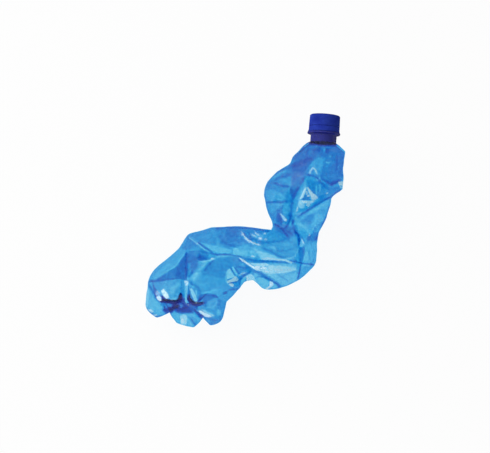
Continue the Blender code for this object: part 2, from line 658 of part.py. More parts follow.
def plastic(name, colour, roughness, clear):
    material = bpy.data.materials.new(name)
    material.use_nodes = True
    shader = material.node_tree.nodes["Principled BSDF"]
    shader.inputs["Base Color"].default_value = (*colour, 1)
    shader.inputs["Roughness"].default_value = roughness
    shader.inputs["Metallic"].default_value = 0
    shader.inputs["Transmission Weight"].default_value = clear
    return material


def stand_on_ground(things):
    """Moves everything so that its box stands on Z = 0, centred over the origin."""
    bpy.context.view_layer.update()
    corners = np.array([thing.matrix_world @ v.co for thing in things for v in thing.data.vertices])
    low, high = corners.min(axis=0), corners.max(axis=0)
    shift = Vector((-(low[0] + high[0]) / 2, -(low[1] + high[1]) / 2, -low[2]))
    for thing in things:
        thing.location += shift


def main():
    for thing in list(bpy.data.objects):
        bpy.data.objects.remove(thing)
    blue_pet = plastic("blue_pet", (0.05, 0.33, 0.72), 0.08, 0.7)
    navy = plastic("navy_cap_plastic", (0.02, 0.025, 0.22), 0.35, 0)
    pale = plastic("pale_liner_plastic", (0.6, 0.65, 0.75), 0.5, 0)
    frame = neck_matrix()
    stand_on_ground([
        make_bottle(blue_pet),
        make_cap(navy, frame),
        make_seal_disc(pale, frame),
        make_tamper_band(navy, frame),
    ])


main()
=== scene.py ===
"""Finish and fine form of a crushed PET drinks bottle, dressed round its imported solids.

The bottle is read on a plane that leans back by LEAN from level: u runs right, v runs up the
plane and h stands out of its front, all in millimetres. Everything else is in metres.
"""
import json
import math

import bmesh
import bpy
import numpy as np
from mathutils import Matrix, Vector, noise


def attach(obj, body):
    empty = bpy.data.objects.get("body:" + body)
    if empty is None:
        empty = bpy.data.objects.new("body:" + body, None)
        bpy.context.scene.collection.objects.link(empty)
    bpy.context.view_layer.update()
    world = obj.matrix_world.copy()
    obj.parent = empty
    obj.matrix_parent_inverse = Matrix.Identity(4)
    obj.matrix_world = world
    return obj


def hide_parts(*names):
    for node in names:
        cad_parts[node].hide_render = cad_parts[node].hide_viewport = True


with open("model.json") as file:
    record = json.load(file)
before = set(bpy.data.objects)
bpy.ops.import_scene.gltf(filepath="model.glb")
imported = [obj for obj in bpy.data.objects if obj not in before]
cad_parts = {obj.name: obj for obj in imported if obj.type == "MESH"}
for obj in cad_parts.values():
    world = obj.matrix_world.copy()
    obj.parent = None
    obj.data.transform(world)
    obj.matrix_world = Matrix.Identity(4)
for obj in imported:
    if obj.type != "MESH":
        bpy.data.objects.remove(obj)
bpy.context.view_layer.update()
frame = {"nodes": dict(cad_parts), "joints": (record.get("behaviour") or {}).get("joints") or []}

MM = 0.001
LEAN = math.radians(20)
LAYOUT_ORIGIN = np.array([0.000178, 0.006273, 0.0])

# The cap's screw joint gives the neck's root and the way the neck runs.
SCREW = next(joint for joint in frame["joints"] if joint["name"] == "cap_turn")
NECK_ROOT = Vector(SCREW["pos_m"])
NECK_WAY = Vector(SCREW["axis"]).normalized()

# Neck finish: radii from its axis and levels above its root, in millimetres. The outline runs up
# the outside, over the support ring and the bead, to the lip.
NECK_PROFILE = [
    (13.1, 0), (13.1, 2.5), (13.1, 6.4), (13.2, 7.1), (13.6, 7.7), (15.9, 8.05), (16.35, 8.25),
    (16.5, 8.6), (16.5, 9.5), (16.4, 9.85), (16.1, 10.0), (13.0, 10.0), (12.7, 10.4), (12.7, 12.3),
    (13.2, 12.75), (13.8, 13.0), (13.9, 13.3), (13.9, 13.8), (13.6, 14.1), (12.8, 14.5),
    (12.7, 15.0), (12.7, 24.1), (12.5, 24.7), (12.1, 25.0),
]
BORE_RADIUS = 10.75
BORE_LEVELS = (8.0, 16.0, NECK_PROFILE[-1][1])
# The skin is cut off NECK_SEAM above the root. Below it the wall thins over NECK_BLEND, and lines
# and crumple fade out over NECK_CLEAR.
NECK_SEAM, NECK_BLEND, NECK_CLEAR = 0.6 * MM, 14 * MM, 6 * MM
# The thread: its lowest and highest level, its pitch and its section's radius, how far its middle
# lies under the neck's face and sinks further at its ends, and how soon it fades there.
THREAD_LEVELS = (16.8, 23.4, 2.7)
THREAD_DEPTH, THREAD_SEAT, THREAD_SINK = 0.95, 0.2, 0.7
THREAD_STEPS, THREAD_FADE = 48, 1 / 10

# Screw cap and the band under it, in the same way: radii, levels and outlines.
CAP_RADIUS, CAP_BORE = 15.5, 14.3
CAP_TOP, CAP_CEILING, CAP_SKIRT = 27.9, 26.3, 15.9
CAP_PROFILE = [
    (0, CAP_TOP), (7, CAP_TOP - 0.02), (12.8, CAP_TOP - 0.08), (13.9, CAP_TOP - 0.2),
    (14.6, CAP_TOP - 0.5), (15.0, CAP_TOP - 1.0), (15.2, CAP_TOP - 1.5), (15.35, 22),
    (CAP_RADIUS, CAP_SKIRT + 0.7), (CAP_RADIUS, CAP_SKIRT + 0.15), (CAP_RADIUS - 0.15, CAP_SKIRT),
    (CAP_BORE, CAP_SKIRT), (CAP_BORE, CAP_CEILING), (0, CAP_CEILING),
]
# Its ribs: how many, how deep, between which levels, and how near the side they stay.
CAP_RIBS, RIB_DEPTH = 120, 0.28
RIB_LOW, RIB_HIGH, RIB_BAND = CAP_SKIRT + 0.5, CAP_TOP - 1.2, 0.6
BAND_TOP, BAND_LOW = 15.6, 10.3
BAND_PROFILE = [
    (CAP_RADIUS - 0.15, BAND_TOP), (CAP_RADIUS, BAND_TOP - 0.15), (CAP_RADIUS, 13),
    (CAP_RADIUS + 0.1, BAND_LOW + 0.4), (CAP_RADIUS + 0.05, BAND_LOW), (CAP_BORE + 0.1, BAND_LOW),
    (CAP_BORE, BAND_LOW + 0.3), (CAP_BORE, BAND_TOP),
]
BAND_STEPS = 96
# The stubs of the bridges that once held the band to the cap: how many, how far in from its side
# and above its top, their size, and their bevel.
BRIDGES, BRIDGE_IN, BRIDGE_UP = 12, 0.45, 0.04
BRIDGE_SIZE, BRIDGE_BEVEL = (0.55, 0.9, 0.24), 0.05 * MM

# How the skin is refined: faces this flat and square pair up as quads, folds between these angles
# stay more or less sharp, and the skin is divided this often.
FLAT_PAIR, SQUARE_PAIR = math.radians(25), math.radians(40)
SOFT_FOLD, SHARP_FOLD = math.radians(14), math.radians(55)
SKIN_LEVELS = 2
# Points nearer than this are merged, on the solid's copy and on a turned piece. Edges flatter than
# SMOOTH_ANGLE are shaded smooth.
MERGE_SKIN, MERGE_TURNED = 0.001 * MM, 0.002 * MM
SMOOTH_ANGLE = math.radians(40)
# A face belongs to the front or the back where its normal leans at least EDGE_ON that way. What
# is marked on a side fades in over TURN, and the front's wall begins WALL_TURN round the edge.
EDGE_ON, TURN, WALL_TURN = 0.05, 0.3, 0.12
# Points slide onto a line that is nearer than SNAP_REACH (mm), and up to SNAP_PAST beyond its ends.
SNAP_REACH, SNAP_PAST, TINY = 3, 0.05, 1e-9
# How lines run: they taper over LINE_TAPER, go in steps of LINE_STEP, and stray by LINE_WANDER in
# bends of WANDER_SIZE (mm). LINE_RISE scales all their lifts.
LINE_TAPER, LINE_END = 3.0, 0.25
LINE_STEP, LINE_WANDER, WANDER_SIZE, WANDER_SEED = 2.2, 0.55, 6.0, 3.7
# Blender's vector noise is seeded from the clock unless it gets a seed, and 0 means the clock too.
NOISE_SEED = 5
LINE_RISE = 0.55
# A line's mark is full within this share of its width, less 1, and its edge is this uneven.
MARK_CORE, MARK_UNEVEN = 1.25, 0.5
# A bright line is a painted highlight, drawn by thinning the wall's tint as if stretched: how thin the
# tint gets there (mm), and how nearly.
HIGHLIGHT_LINE_WALL, HIGHLIGHT_LINE_THINNING = 0.28, 0.75
# No point comes nearer to the ground than this.
LEAST_CLEAR = 0.05 * MM
# The front is refined once more near crisp lines and panel edges, out to this far from them (mm).
CRISP, CRISP_REACH = 1.0, 0.95

# Fine crumple all over, in two sizes: how large its facets are, how far they stand out, and the
# seeds of their patterns.
CRUMPLE_SIZE, CRUMPLE_RISE, CRUMPLE_SEED = 9 * MM, 0.2 * MM, 3
FINE_SIZE, FINE_RISE, FINE_SEED = CRUMPLE_SIZE / 2.3, CRUMPLE_RISE * 0.45, 11
# Its creases are crazed a little, and the whole wall is hazed a little. No place is whiter than
# MOST_WHITE.
CRAZE_WIDTH, CRAZE = 0.08, 0.05
HAZE, MOST_WHITE = 0.022, 0.95
# How much thicker (mm) the tint reads along dark lines, where the wall is doubled and where shade is
# painted into creases.
DOUBLED_AND_SHADED_WALL = 0.9

# Where the wall settled away from the solid's outline: places, how far it moves there, and how
# soon that fades (all mm).
SETTLE_REACH = 4.5
SETTLED = [
    ((-99.5, -64), (1.5, 0)), ((-100, -70), (1, -2)), ((-98, -78), (-2, -2)), ((-94, -85), (-2, -1.5)),
    ((-88, -89), (0, -2)), ((-79, -86), (0, -2)), ((-75, -90), (2, 0)), ((-73, -96), (3, 2)),
    ((-67, -99), (3, 0.8)), ((-58, -101), (3, 0.5)), ((-55.5, -100.5), (7, -0.5)),
    ((-49, -92), (6, -1)), ((-43, -97), (4.5, 1)), ((-38, -101), (4.5, 2.5)), ((-31, -99.5), (2.5, 2)),
    ((-25, -96), (0, 1.5)), ((-20, -90), (-2.5, 0.5)), ((-16, -82), (-5, 0)), ((-16, -78), (-5, 1)),
    ((-15, -74), (-2, 0)), ((-12, -71), (-1, 0)), ((-80, -70), (0, 0)), ((-60, -75), (0, 0)),
    ((-60, -86), (0, 0)), ((-48, -80), (0, 0)), ((-30, -70), (0, 0)), ((-70, -84), (0, 0)),
    ((-35, -80), (-1, 0)), ((69.5, -34), (1, 0)), ((69.5, -26), (1.5, 0)), ((80, 6), (1, 0)),
    ((84, 22), (1, 0)), ((76, 2), (1, 0)), ((44, -58), (0, -1)), ((50, -54.5), (0.5, -1)),
    ((57, -50), (0.5, -0.3)), ((20.5, 34), (-1, 0)), ((20, 38), (-1, 0)), ((22, 42), (-1, 0)),
    ((36, 55.5), (0, 1)), ((39, 58), (-1.5, 0.5)), ((49, 70), (-1, 0)), ((55, 78), (1, 0)),
    ((95.5, 78), (1.5, 0)), ((97, 74), (2, 0)), ((97, 62), (1, 0)), ((97, 50), (1, 0)),
    ((-10, -68), (0, 1.5)), ((60, 83), (-0.8, 0.8)), ((-34, -2), (0, 1)),
]

# The wall's thickness where nothing below says otherwise: the front, the back and the neck.
FRONT_WALL, BACK_WALL, NECK_WALL = 0.52 * MM, 0.24 * MM, 1.95 * MM
# What the neck tints light like, with the finish and the cap's plug behind it, and how soon the
# shoulder takes over.
NECK_TINT, NECK_EDGE = 3.3, 0.7 * MM

# Panels of the front wall: how thick the wall is there (mm), which also sets how dark its tint
# reads, so that in places it paints shade into folds and hollows and light onto panels; how much
# of it is painted white, mostly painted highlights on facets, with crazing in a few places; how
# far its edge fades (mm), and its corners (u, v).
FRONT_PANELS = {
    # shoulder and the valley under it, with painted shade along the valley
    "shoulder": (1.05, 0, 4, [(62, 88), (93, 86), (101, 77), (100, 50), (92, 48), (60, 50), (44, 60),
        (47, 69)]),
    "collar": (1.5, 0, 2, [(64, 86), (92, 84), (95, 80), (80, 80.4), (62, 82)]),
    # This patch and the next are the neck thread's shadow, painted on.
    "thread_shadow_left": (1.5, 0, 2, [(66, 77), (70, 78.4), (75, 79), (76, 76), (72, 74.2), (67, 75)]),
    "thread_shadow_right": (1.5, 0, 1.6, [(80, 75.6), (82, 78.4), (85, 77), (84, 73.6), (81, 72.6)]),
    "shoulder_left": (1.06, 0, 2, [(45, 61), (50, 71), (56, 79), (63, 82), (61, 72), (54, 67.6),
        (49, 64)]),
    "shoulder_rim": (0.7, 0, 1.6, [(44.6, 61), (47, 67.4), (50, 66.4), (48, 62)]),
    "shoulder_light": (0.72, 0, 2.4, [(68, 66), (72, 70), (77, 69), (80, 66), (79, 62), (77, 56),
        (76, 52), (70, 50), (64, 51), (63, 57), (65, 62)]),
    "shoulder_middle": (1, 0, 3, [(80, 65), (91, 65), (91, 50), (86, 48), (79, 50), (77, 56)]),
    "strip": (1, 0, 2, [(91, 75), (100, 77), (100, 50), (93, 50), (90, 60)]),
    "valley": (1.2, 0, 3, [(72, 69), (66, 70), (55, 66), (44, 60), (36, 54), (50, 54), (58, 52), (62, 58),
        (66, 64)]),
    "valley_dark": (1.4, 0, 2.4, [(49, 60), (57, 65), (64, 69), (63, 65.4), (55, 60)]),
    # the collapsed side below it
    "collapse": (0.9, 0, 2, [(60, 51), (75, 51), (80, 50), (92, 50), (97, 47), (92, 44), (87, 41),
        (82, 43), (77, 45), (70, 48), (62, 49)]),
    "collapse_facet": (0.86, 0, 1.6, [(82, 50), (90, 53), (91, 48), (86, 44), (83, 46)]),
    "collapse_pit": (1.4, 0, 2, [(80, 46), (84, 42), (86, 39.6), (90, 42), (94, 45), (90, 46), (85, 44)]),
    "right_middle": (0.84, 0, 3, [(62, 46), (70, 44), (78, 42), (86, 38), (95, 40), (98, 36), (88, 30),
        (78, 26), (70, 29), (66, 34), (62, 40)]),
    "lip_light": (0.5, 0.03, 1.2, [(70, 48), (72, 46.6), (75, 46), (78, 43.6), (75, 43), (70, 45)]),
    "notch_white": (0.1, 0.78, 1, [(93.5, 44.2), (98.4, 44.8), (98.4, 40.5), (95, 40.4), (94, 41.5)]),
    "notch_low": (0.3, 0.3, 1, [(95, 39.8), (98.6, 39), (98, 37.4), (95.5, 38)]),
    "flap_shadow": (0.84, 0.045, 1.4, [(98, 36.8), (88, 30.6), (76, 25.6), (66, 18.5), (56, 11.5),
        (51, 8.6), (60, 16), (66, 20), (72, 24.5), (80, 29), (92, 37)]),
    # the three-cornered dent, with painted highlights on its facets
    "dent_right": (0.1, 0.68, 0.8, [(62, 39.2), (63.6, 37.6), (68, 32.6), (72, 30), (72.8, 27.8),
        (70, 26), (66.6, 25.8), (66, 28), (64.8, 31.4), (63, 34.8)]),
    "dent_left": (0.14, 0.42, 0.9, [(60.6, 38.6), (58.4, 36), (56.4, 31), (54.4, 27), (57.6, 27),
        (58.6, 30), (60, 33), (61, 36)]),
    "dent_inner": (0.92, 0, 0.8, [(61, 36.4), (62.2, 34.6), (63.6, 31.2), (64.4, 27.8), (63.6, 26.3),
        (57, 26.5), (58.8, 29.5), (60.4, 33)]),
    "dent_mark": (0.3, 0.6, 0.7, [(60.8, 34.6), (61.8, 35), (62.2, 31.4), (61, 31)]),
    "dent_spot": (0.3, 0.75, 0.7, [(62, 31), (64.2, 31.2), (64.2, 29.3), (61.8, 29.4)]),
    "dent_base": (0.06, 0.6, 0.8, [(55.4, 26), (58, 25), (66, 25.2), (69.6, 25.8), (68, 23.8), (65.5, 22),
        (64, 21.6), (62, 22.4), (58.5, 22.8), (56.4, 24.4)]),
    "dent_low": (0.06, 0.7, 0.8, [(60.4, 20.8), (62.4, 22.5), (64.9, 22.2), (65.6, 20.4), (63, 18.9)]),
    "dent_tail": (0.2, 0.25, 1, [(54.4, 25.6), (57, 23), (59.6, 20.5), (59, 17.7), (56.5, 17.2),
        (54.5, 18), (53.2, 19.5), (53, 22)]),
    "dent_streak": (0.3, 0.6, 0.7, [(52, 19.4), (53.3, 19), (52.7, 15.5), (51.5, 14), (50.7, 15)]),
    "dent_foot": (0.45, 0.1, 1, [(49.7, 13.5), (53, 14.2), (56.6, 13.6), (55, 11.2), (51, 10.8)]),
    # the fold beside the dent, with painted shade in the fold, and the lobe left of it
    "fold": (1.15, 0.04, 2, [(60, 50.5), (61, 53), (50, 54.5), (44.5, 52), (45.5, 46), (46, 42), (45, 34),
        (47, 27), (49, 31), (51, 35), (53, 40), (56, 46)]),
    "fold_core": (1.55, 0.05, 1.4, [(57, 48), (59.4, 48.6), (57.4, 44), (54.4, 40), (52.4, 36), (50, 33),
        (52.2, 39), (55, 44)]),
    "fold_middle": (1.4, 0.04, 2, [(45.4, 40), (51, 34), (50, 31), (48, 27), (45.4, 33)]),
    "fold_low": (0.9, 0, 1.6, [(44, 28), (48.6, 27), (47.6, 20), (47, 8), (44.5, 8), (44.2, 20)]),
    "lobe": (0.77, 0, 3, [(18, 40), (23, 47), (30, 49), (44, 42), (44, 25), (43, 10), (38, 2), (28, 4),
        (23, 12), (18, 24)]),
    "lobe_top": (0.9, 0, 2.4, [(24, 49), (36, 58), (46, 61), (47, 52), (44, 47), (36, 49), (30, 47)]),
    "lobe_facet": (0.62, 0, 1.4, [(41, 48), (45.6, 50), (46, 41), (43, 42)]),
    "lobe_light": (0.5, 0, 2, [(20, 36), (25, 36.6), (30, 35.6), (36, 33), (40, 28), (38, 25), (26, 24.4),
        (21, 26)]),
    "lobe_low": (0.55, 0, 2, [(23, 23), (44, 22.6), (43.5, 12), (40, 12), (36, 20), (31, 15), (26, 12),
        (22, 18)]),
    "lobe_low_light": (0.5, 0, 1.4, [(40, 22.2), (43.8, 22.2), (43, 12), (38, 13)]),
    "lobe_notch": (1.2, 0, 0.9, [(31.4, 16), (34.5, 15.6), (37.4, 20), (38.8, 22.4), (37, 17.6),
        (34, 14.4), (31.8, 14.4)]),
    "wedge": (1.28, 0, 1.2, [(32, 13.6), (34.4, 13), (36, 8), (37, 2), (39, -3.6), (36, -2), (32, 1.4),
        (30.8, 6)]),
    "wedge_streak": (0.3, 0.3, 0.9, [(34.4, 12.6), (36, 12.4), (41.4, 7.4), (42, 5), (40, 4.6),
        (38, 6.2)]),
    "wedge_tip": (0.2, 0.72, 0.8, [(39.2, 7.2), (41.8, 6.8), (41.6, 4.8), (39.6, 4.8)]),
    "wedge_spot": (0.42, 0.16, 0.9, [(37, 3), (40, 2.8), (40.4, 0.9), (37.4, 0.7)]),
    # the flap under the dent
    "flap": (0.5, 0, 3, [(87, 29), (86, 20), (82, 8), (76, -4), (70, -8), (60, -6), (50, 3), (52, 8),
        (60, 13), (68, 18), (78, 25)]),
    "flap_light": (0.38, 0.02, 2, [(84, 26), (85, 22), (82, 16), (79, 18), (70, 17), (60, 11), (62, 14),
        (72, 19), (80, 24)]),
    "flap_middle": (0.87, 0, 3, [(60, 10), (70, 13), (69, 6), (64, 1), (56, 4), (54, 8)]),
    "flap_low": (0.38, 0.02, 2, [(70, 12), (80, 12), (77, 4), (72, -2), (66, 0), (68, 6)]),
    "flap_foot": (0.86, 0, 2, [(66, -8), (74, -6), (73, -14), (68, -16), (62, -14), (62, -10)]),
    "elbow_right": (0.42, 0.02, 2, [(73, -15), (72, -30), (71, -39), (57, -38), (58, -26), (60, -20),
        (66, -17)]),
    "elbow_light": (0.3, 0.05, 1.4, [(60, -26), (63, -25), (64, -34), (58, -35), (58, -30)]),
    "elbow_wedge": (0.92, 0.05, 0.9, [(54.5, -21.5), (59.6, -20), (59, -28), (57, -35), (56.8, -37.5),
        (54.6, -37), (54.2, -30), (53.5, -25)]),
    "elbow_diamond": (0.3, 0.14, 0.8, [(55.8, -12), (57.6, -12.5), (59.4, -18), (57.5, -20),
        (55.8, -21.2), (54.3, -19), (54.3, -16.5), (56, -15)]),
    "elbow_glint": (0.2, 0.5, 0.7, [(54.4, -17.4), (55.8, -18), (56, -20.6), (54.6, -20)]),
    # waist and upper side of the belly
    "waist": (0.6, 0, 4, [(24, -4), (40, -4), (50, -10), (53, -18), (52, -24), (40, -30), (24, -26),
        (14, -18), (16, -8)]),
    "waist_crossing": (1.0, 0, 3, [(28, 2), (40, 2), (50, -2), (52, -8), (44, -12), (38, -8), (30, -4)]),
    "waist_light": (0.4, 0.06, 1, [(24.6, -20.4), (30, -20), (31, -23.6), (28, -23)]),
    "waist_low": (0.62, 0, 2, [(31, -29.5), (30, -24), (44, -24), (51, -26), (49, -30), (44, -31)]),
    "top_edge": (0.78, 0, 3, [(-30, 2), (24, 0), (24, -5), (16, -8), (4, -8), (-8, -10), (-20, -12),
        (-30, -6)]),
    "top_middle": (0.9, 0, 3, [(-28, -8), (-4, -12), (4, -18), (-10, -21), (-24, -18)]),
    "top_dark": (1.06, 0, 3, [(-18, -3), (-8, -3), (-6, -14), (-14, -16), (-20, -10)]),
    "under_arc": (0.58, 0, 2, [(-3, -16), (4, -17), (12, -21), (6, -21.6), (-4, -20.6)]),
    "upper_left": (0.7, 0, 3, [(-58, -9), (-44, -4), (-30, -1), (-28, -12), (-28, -22), (-36, -22),
        (-48, -14)]),
    "upper_left_light": (0.58, 0, 2.4, [(-35, -3.6), (-29.4, -3.6), (-31, -8), (-44, -9), (-50, -13),
        (-44, -12.6), (-34, -11)]),
    "cyan_left": (0.32, 0, 2, [(-44, -16), (-36, -17.5), (-30, -19), (-22, -21), (-14, -23), (-14, -27),
        (-26, -27), (-33, -25), (-38, -21)]),
    "cyan_right": (0.24, 0, 0.9, [(-12, -22), (-9, -21), (-5, -24), (1, -24.4), (5, -27), (8, -30),
        (-4, -29.2), (-12, -28)]),
    "cyan_middle": (0.3, 0, 1.6, [(2, -24), (8, -24), (12, -28), (10, -31), (4, -29)]),
    "panel_white": (0.2, 0.36, 0.8, [(5.4, -30.2), (9, -31), (9.6, -29.8), (6.4, -29)]),
    "above_ridge": (0.22, 0.07, 1.8, [(10, -23), (18, -26), (30, -29), (33, -32), (20, -33.5), (16, -33),
        (14, -30)]),
    "ridge_white": (0.2, 0.4, 1, [(16, -32.6), (19, -30.9), (25, -31), (30, -32), (40, -33), (47.4, -36),
        (46, -37.6), (40, -34.8), (28, -33.8), (18, -33.6)]),
    "ridge_spots": (0.2, 0.62, 0.8, [(18.6, -31.6), (23, -31.4), (28.6, -32.4), (28, -33.2), (20, -33)]),
    # corner of the heel and the sheet left of it
    "corner_left": (0.78, 0, 2, [(-58, -9), (-66, -21), (-60, -24), (-52, -23), (-45, -21), (-50, -15)]),
    "corner_rim": (0.56, 0, 1.6, [(-58, -11), (-67, -22), (-64, -24), (-58, -15)]),
    "corner_dark": (0.8, 0, 1.4, [(-55, -25), (-46, -21.5), (-37, -26), (-36, -31), (-34, -32.5),
        (-43, -33.5), (-49, -33), (-55, -29)]),
    "corner_darkest": (1.1, 0, 1.4, [(-49, -31), (-44, -28.5), (-37, -31), (-37, -32.8), (-44, -33.8),
        (-49, -33)]),
    "knot": (1, 0, 2, [(-57.5, -26), (-50, -28), (-47, -35), (-46, -40), (-50, -44), (-54, -50),
        (-57.5, -50)]),
    "knot_light": (0.68, 0, 1.4, [(-57, -36), (-54, -36), (-53.6, -48), (-57, -49)]),
    "left_sheet": (0.46, 0, 1.4, [(-98, -55), (-96, -48), (-88, -39), (-66, -20), (-59, -24), (-62, -31),
        (-67, -39), (-72, -42.5), (-84, -50)]),
    "sheet_light": (0.36, 0, 2, [(-91, -50), (-86, -44), (-76, -36), (-72, -38), (-80, -44), (-88, -50)]),
    # This band and the darker parts after it are painted shadow in the dent under the heel's lip.
    "left_band": (1.1, 0, 1.1, [(-97, -55.5), (-86, -50.5), (-76, -44.5), (-68, -40.5), (-62, -31),
        (-58, -25.6), (-57.5, -51), (-64, -51), (-80, -53.5)]),
    "band_dark": (1.2, 0, 1.4, [(-68.5, -41), (-66, -38), (-60, -28), (-58, -26), (-57.5, -53),
        (-61, -53), (-66, -50.5), (-68, -46)]),
    "band_darkest": (1.5, 0, 1.4, [(-67, -42), (-64, -40), (-63, -46), (-62, -51), (-65, -50),
        (-68, -49)]),
    "band_low": (1.06, 0, 1, [(-94, -55.4), (-74, -51.5), (-66, -50.5), (-62, -51.2), (-78, -53.6)]),
    # the smooth side under the ridge
    "smooth": (0.82, 0, 3, [(-36, -36), (-30, -32), (-14, -30), (-4, -35), (-6, -42), (-18, -42),
        (-19, -52), (-34, -50), (-42, -48)]),
    "smooth_low": (0.64, 0, 3, [(-50, -56), (-42, -48), (-34, -50), (-19, -52), (-17, -58), (-12, -61),
        (-26, -62), (-42, -67)]),
    "smooth_dark": (0.9, 0, 2.2, [(-24, -30.8), (-8, -31), (0, -35), (-6, -37), (-18, -36)]),
    "smooth_edge": (0.36, 0, 1.2, [(-42.4, -67), (-42, -65), (-34, -63.6), (-28, -61.8), (-28, -63.6),
        (-35, -66)]),
    "diagonal": (0.42, 0, 1.6, [(-44, -34.5), (-37, -33.5), (-36, -36), (-40, -38.5), (-44, -44),
        (-46, -48), (-50, -54), (-55, -52.5), (-53, -48), (-47, -43), (-42, -38)]),
    "diagonal_light": (0.3, 0, 1.2, [(-54, -52), (-51, -48), (-47, -45), (-46, -48), (-50, -54)]),
    "diagonal_spot": (1.0, 0, 0.9, [(-36, -35.4), (-32, -36), (-33.8, -38.8)]),
    "corner_low": (0.24, 0.06, 0.9, [(-44, -34.8), (-38, -34), (-33, -32.4), (-29, -31.2), (-30, -33),
        (-34, -34.6), (-40, -35.6)]),
    # the white wedge and the belly, with painted highlights on the wedge and on the belly's facets
    "ridge_underside": (0.8, 0, 0.8, [(-4, -32.5), (4, -33), (12, -34.5), (30, -35), (44, -36.5),
        (44, -37.6), (24, -36.4), (8, -36), (2, -34.6)]),
    "belly_high": (0.36, 0.05, 1.4, [(22, -36.5), (52, -38), (53, -41), (30, -40.5)]),
    "belly_top": (0.1, 0.3, 0.9, [(4, -36), (10, -37), (20, -36.5), (24, -38), (22, -40), (14, -40.5),
        (9, -39.5)]),
    "belly": (0.1, 0.28, 1.6, [(14, -43), (22, -41), (24, -38.5), (40, -40), (50, -41), (52, -44),
        (38, -47), (26, -48), (18, -46)]),
    "belly_low": (0.3, 0.06, 2.4, [(18, -47), (40, -48), (53, -46), (52, -54), (40, -60), (30, -55)]),
    "belly_corner": (0.5, 0, 1.6, [(56, -38), (70, -39), (63, -48), (54, -55), (55, -46)]),
    "white_wedge": (0.2, 0.84, 0.8, [(-6, -31.3), (-2, -33), (3, -36.4), (7, -39), (10, -41), (14, -42.5),
        (15.5, -44.4), (11, -43.7), (7, -41.2), (2, -37.8), (-3, -34.6)]),
    "white_a": (0.2, 0.86, 0.8, [(9.5, -40), (14, -39.4), (15, -41), (14, -43), (11, -42.5)]),
    "white_b": (0.2, 0.88, 0.7, [(14.4, -41.9), (17, -40.7), (22, -40.9), (21, -42.1), (15, -42.4)]),
    "white_c": (0.2, 0.85, 0.7, [(19.8, -44.6), (23, -44.2), (22.6, -45.7), (20.3, -45.9)]),
    "white_d": (0.2, 0.7, 0.8, [(28.4, -42.6), (34, -42.3), (35.2, -44), (29, -44.2)]),
    "white_e": (0.2, 0.6, 0.7, [(29.8, -45), (34, -45.2), (34.6, -46.5), (31, -46.2)]),
    "white_f": (0.2, 0.48, 0.8, [(34, -42.4), (46, -42.9), (47.6, -44.1), (36, -44.2)]),
    "under_belly": (0.66, 0, 1.4, [(7, -44.6), (14, -46), (22, -49), (30, -54), (36, -60), (33, -64),
        (28, -57), (20, -53), (12, -51), (10, -49)]),
    "lower_lobe": (0.28, 0.02, 1.8, [(9, -47), (14, -49.5), (20, -52), (24, -56), (22, -64), (16, -64),
        (9, -53)]),
    "lower_lobe_light": (0.3, 0.07, 1.4, [(9, -46.4), (12, -47), (16, -49.5), (12, -52), (9, -50)]),
    "lower_lobe_side": (0.3, 0.04, 1.4, [(28, -56), (33, -61), (28, -63), (26, -61)]),
    "lower_lobe_white": (0.1, 0.84, 0.8, [(24.5, -54.8), (27.6, -55.6), (28.2, -58.5), (25.5, -61),
        (22, -63.4), (20.4, -62.6), (24.4, -59.5)]),
    "lower_lobe_spot": (0.2, 0.92, 0.7, [(25.2, -56.8), (27, -57.3), (26.6, -59.7), (24.8, -59.4)]),
    # the scoop, with painted highlights on its facets
    "scoop": (0.62, 0, 1.2, [(-18.4, -48), (-15, -41), (-11, -39.6), (0, -41.5), (4, -44), (2, -48),
        (-4, -60), (-6, -63), (-13, -62), (-18, -56)]),
    "scoop_left": (0.1, 0.12, 0.8, [(-17.2, -43.4), (-15, -41.6), (-13.4, -43.5), (-11.4, -46.5),
        (-9, -50), (-12, -51), (-17.6, -52.6), (-18.2, -48)]),
    "scoop_middle": (0.2, 0.06, 0.8, [(-13.4, -41), (-11.4, -40), (-9, -45), (-6.5, -48.5), (-8.4, -49.8),
        (-10.6, -46)]),
    "scoop_dark": (0.86, 0, 1, [(-5.5, -50.5), (-1, -48.5), (2, -47.5), (0, -50), (-2.5, -53), (-3, -56),
        (-5, -61), (-6.2, -56), (-5.5, -53)]),
    "scoop_cyan": (0.3, 0, 0.8, [(-3, -52), (-1, -50.4), (1, -50), (0.5, -53), (-1.5, -56), (-4.6, -60),
        (-4, -55)]),
    "scoop_right": (0.06, 0.3, 0.9, [(1, -50), (3, -48.6), (5.5, -47), (8, -49), (9.4, -51.5), (11, -55),
        (5, -57), (1.5, -57)]),
    "scoop_right_white": (0.2, 0.74, 0.7, [(1.5, -51), (3, -50.4), (3.6, -54), (3, -57), (1.4, -57)]),
    "scoop_white": (0.05, 0.66, 0.7, [(-18.2, -54.4), (-13, -52.4), (-10.6, -50.3), (-9, -49.8),
        (-6.4, -53), (-7.8, -54.7), (-12, -55.2), (-16.6, -56.2)]),
    "scoop_white_low": (0.05, 0.7, 0.7, [(-16.2, -56.8), (-12.5, -56.5), (-10.8, -58.4), (-12, -60.2),
        (-14.6, -59.2)]),
    # the base: its five feet and what lies between them, with painted highlights on the feet, and a dark
    # centre that is thick plastic with painted shade over it
    "foot_a": (0.44, 0.02, 2, [(-98, -57), (-93, -62), (-88, -70), (-84, -75), (-80, -82), (-78, -91),
        (-90, -94), (-102, -80)]),
    "foot_a_inner": (0.84, 0, 1.4, [(-96, -57), (-90, -64.6), (-86, -70.4), (-84.6, -75), (-88, -72.6),
        (-92, -66), (-95, -60)]),
    "foot_a_rim": (0.26, 0.12, 1.4, [(-97.6, -60), (-95, -62), (-95.4, -74), (-96.4, -81), (-98.6, -80),
        (-98.6, -70)]),
    "foot_a_white": (0.24, 0.5, 1, [(-96.4, -82.6), (-93.4, -82.4), (-90.6, -84), (-91, -85.8),
        (-94.6, -85)]),
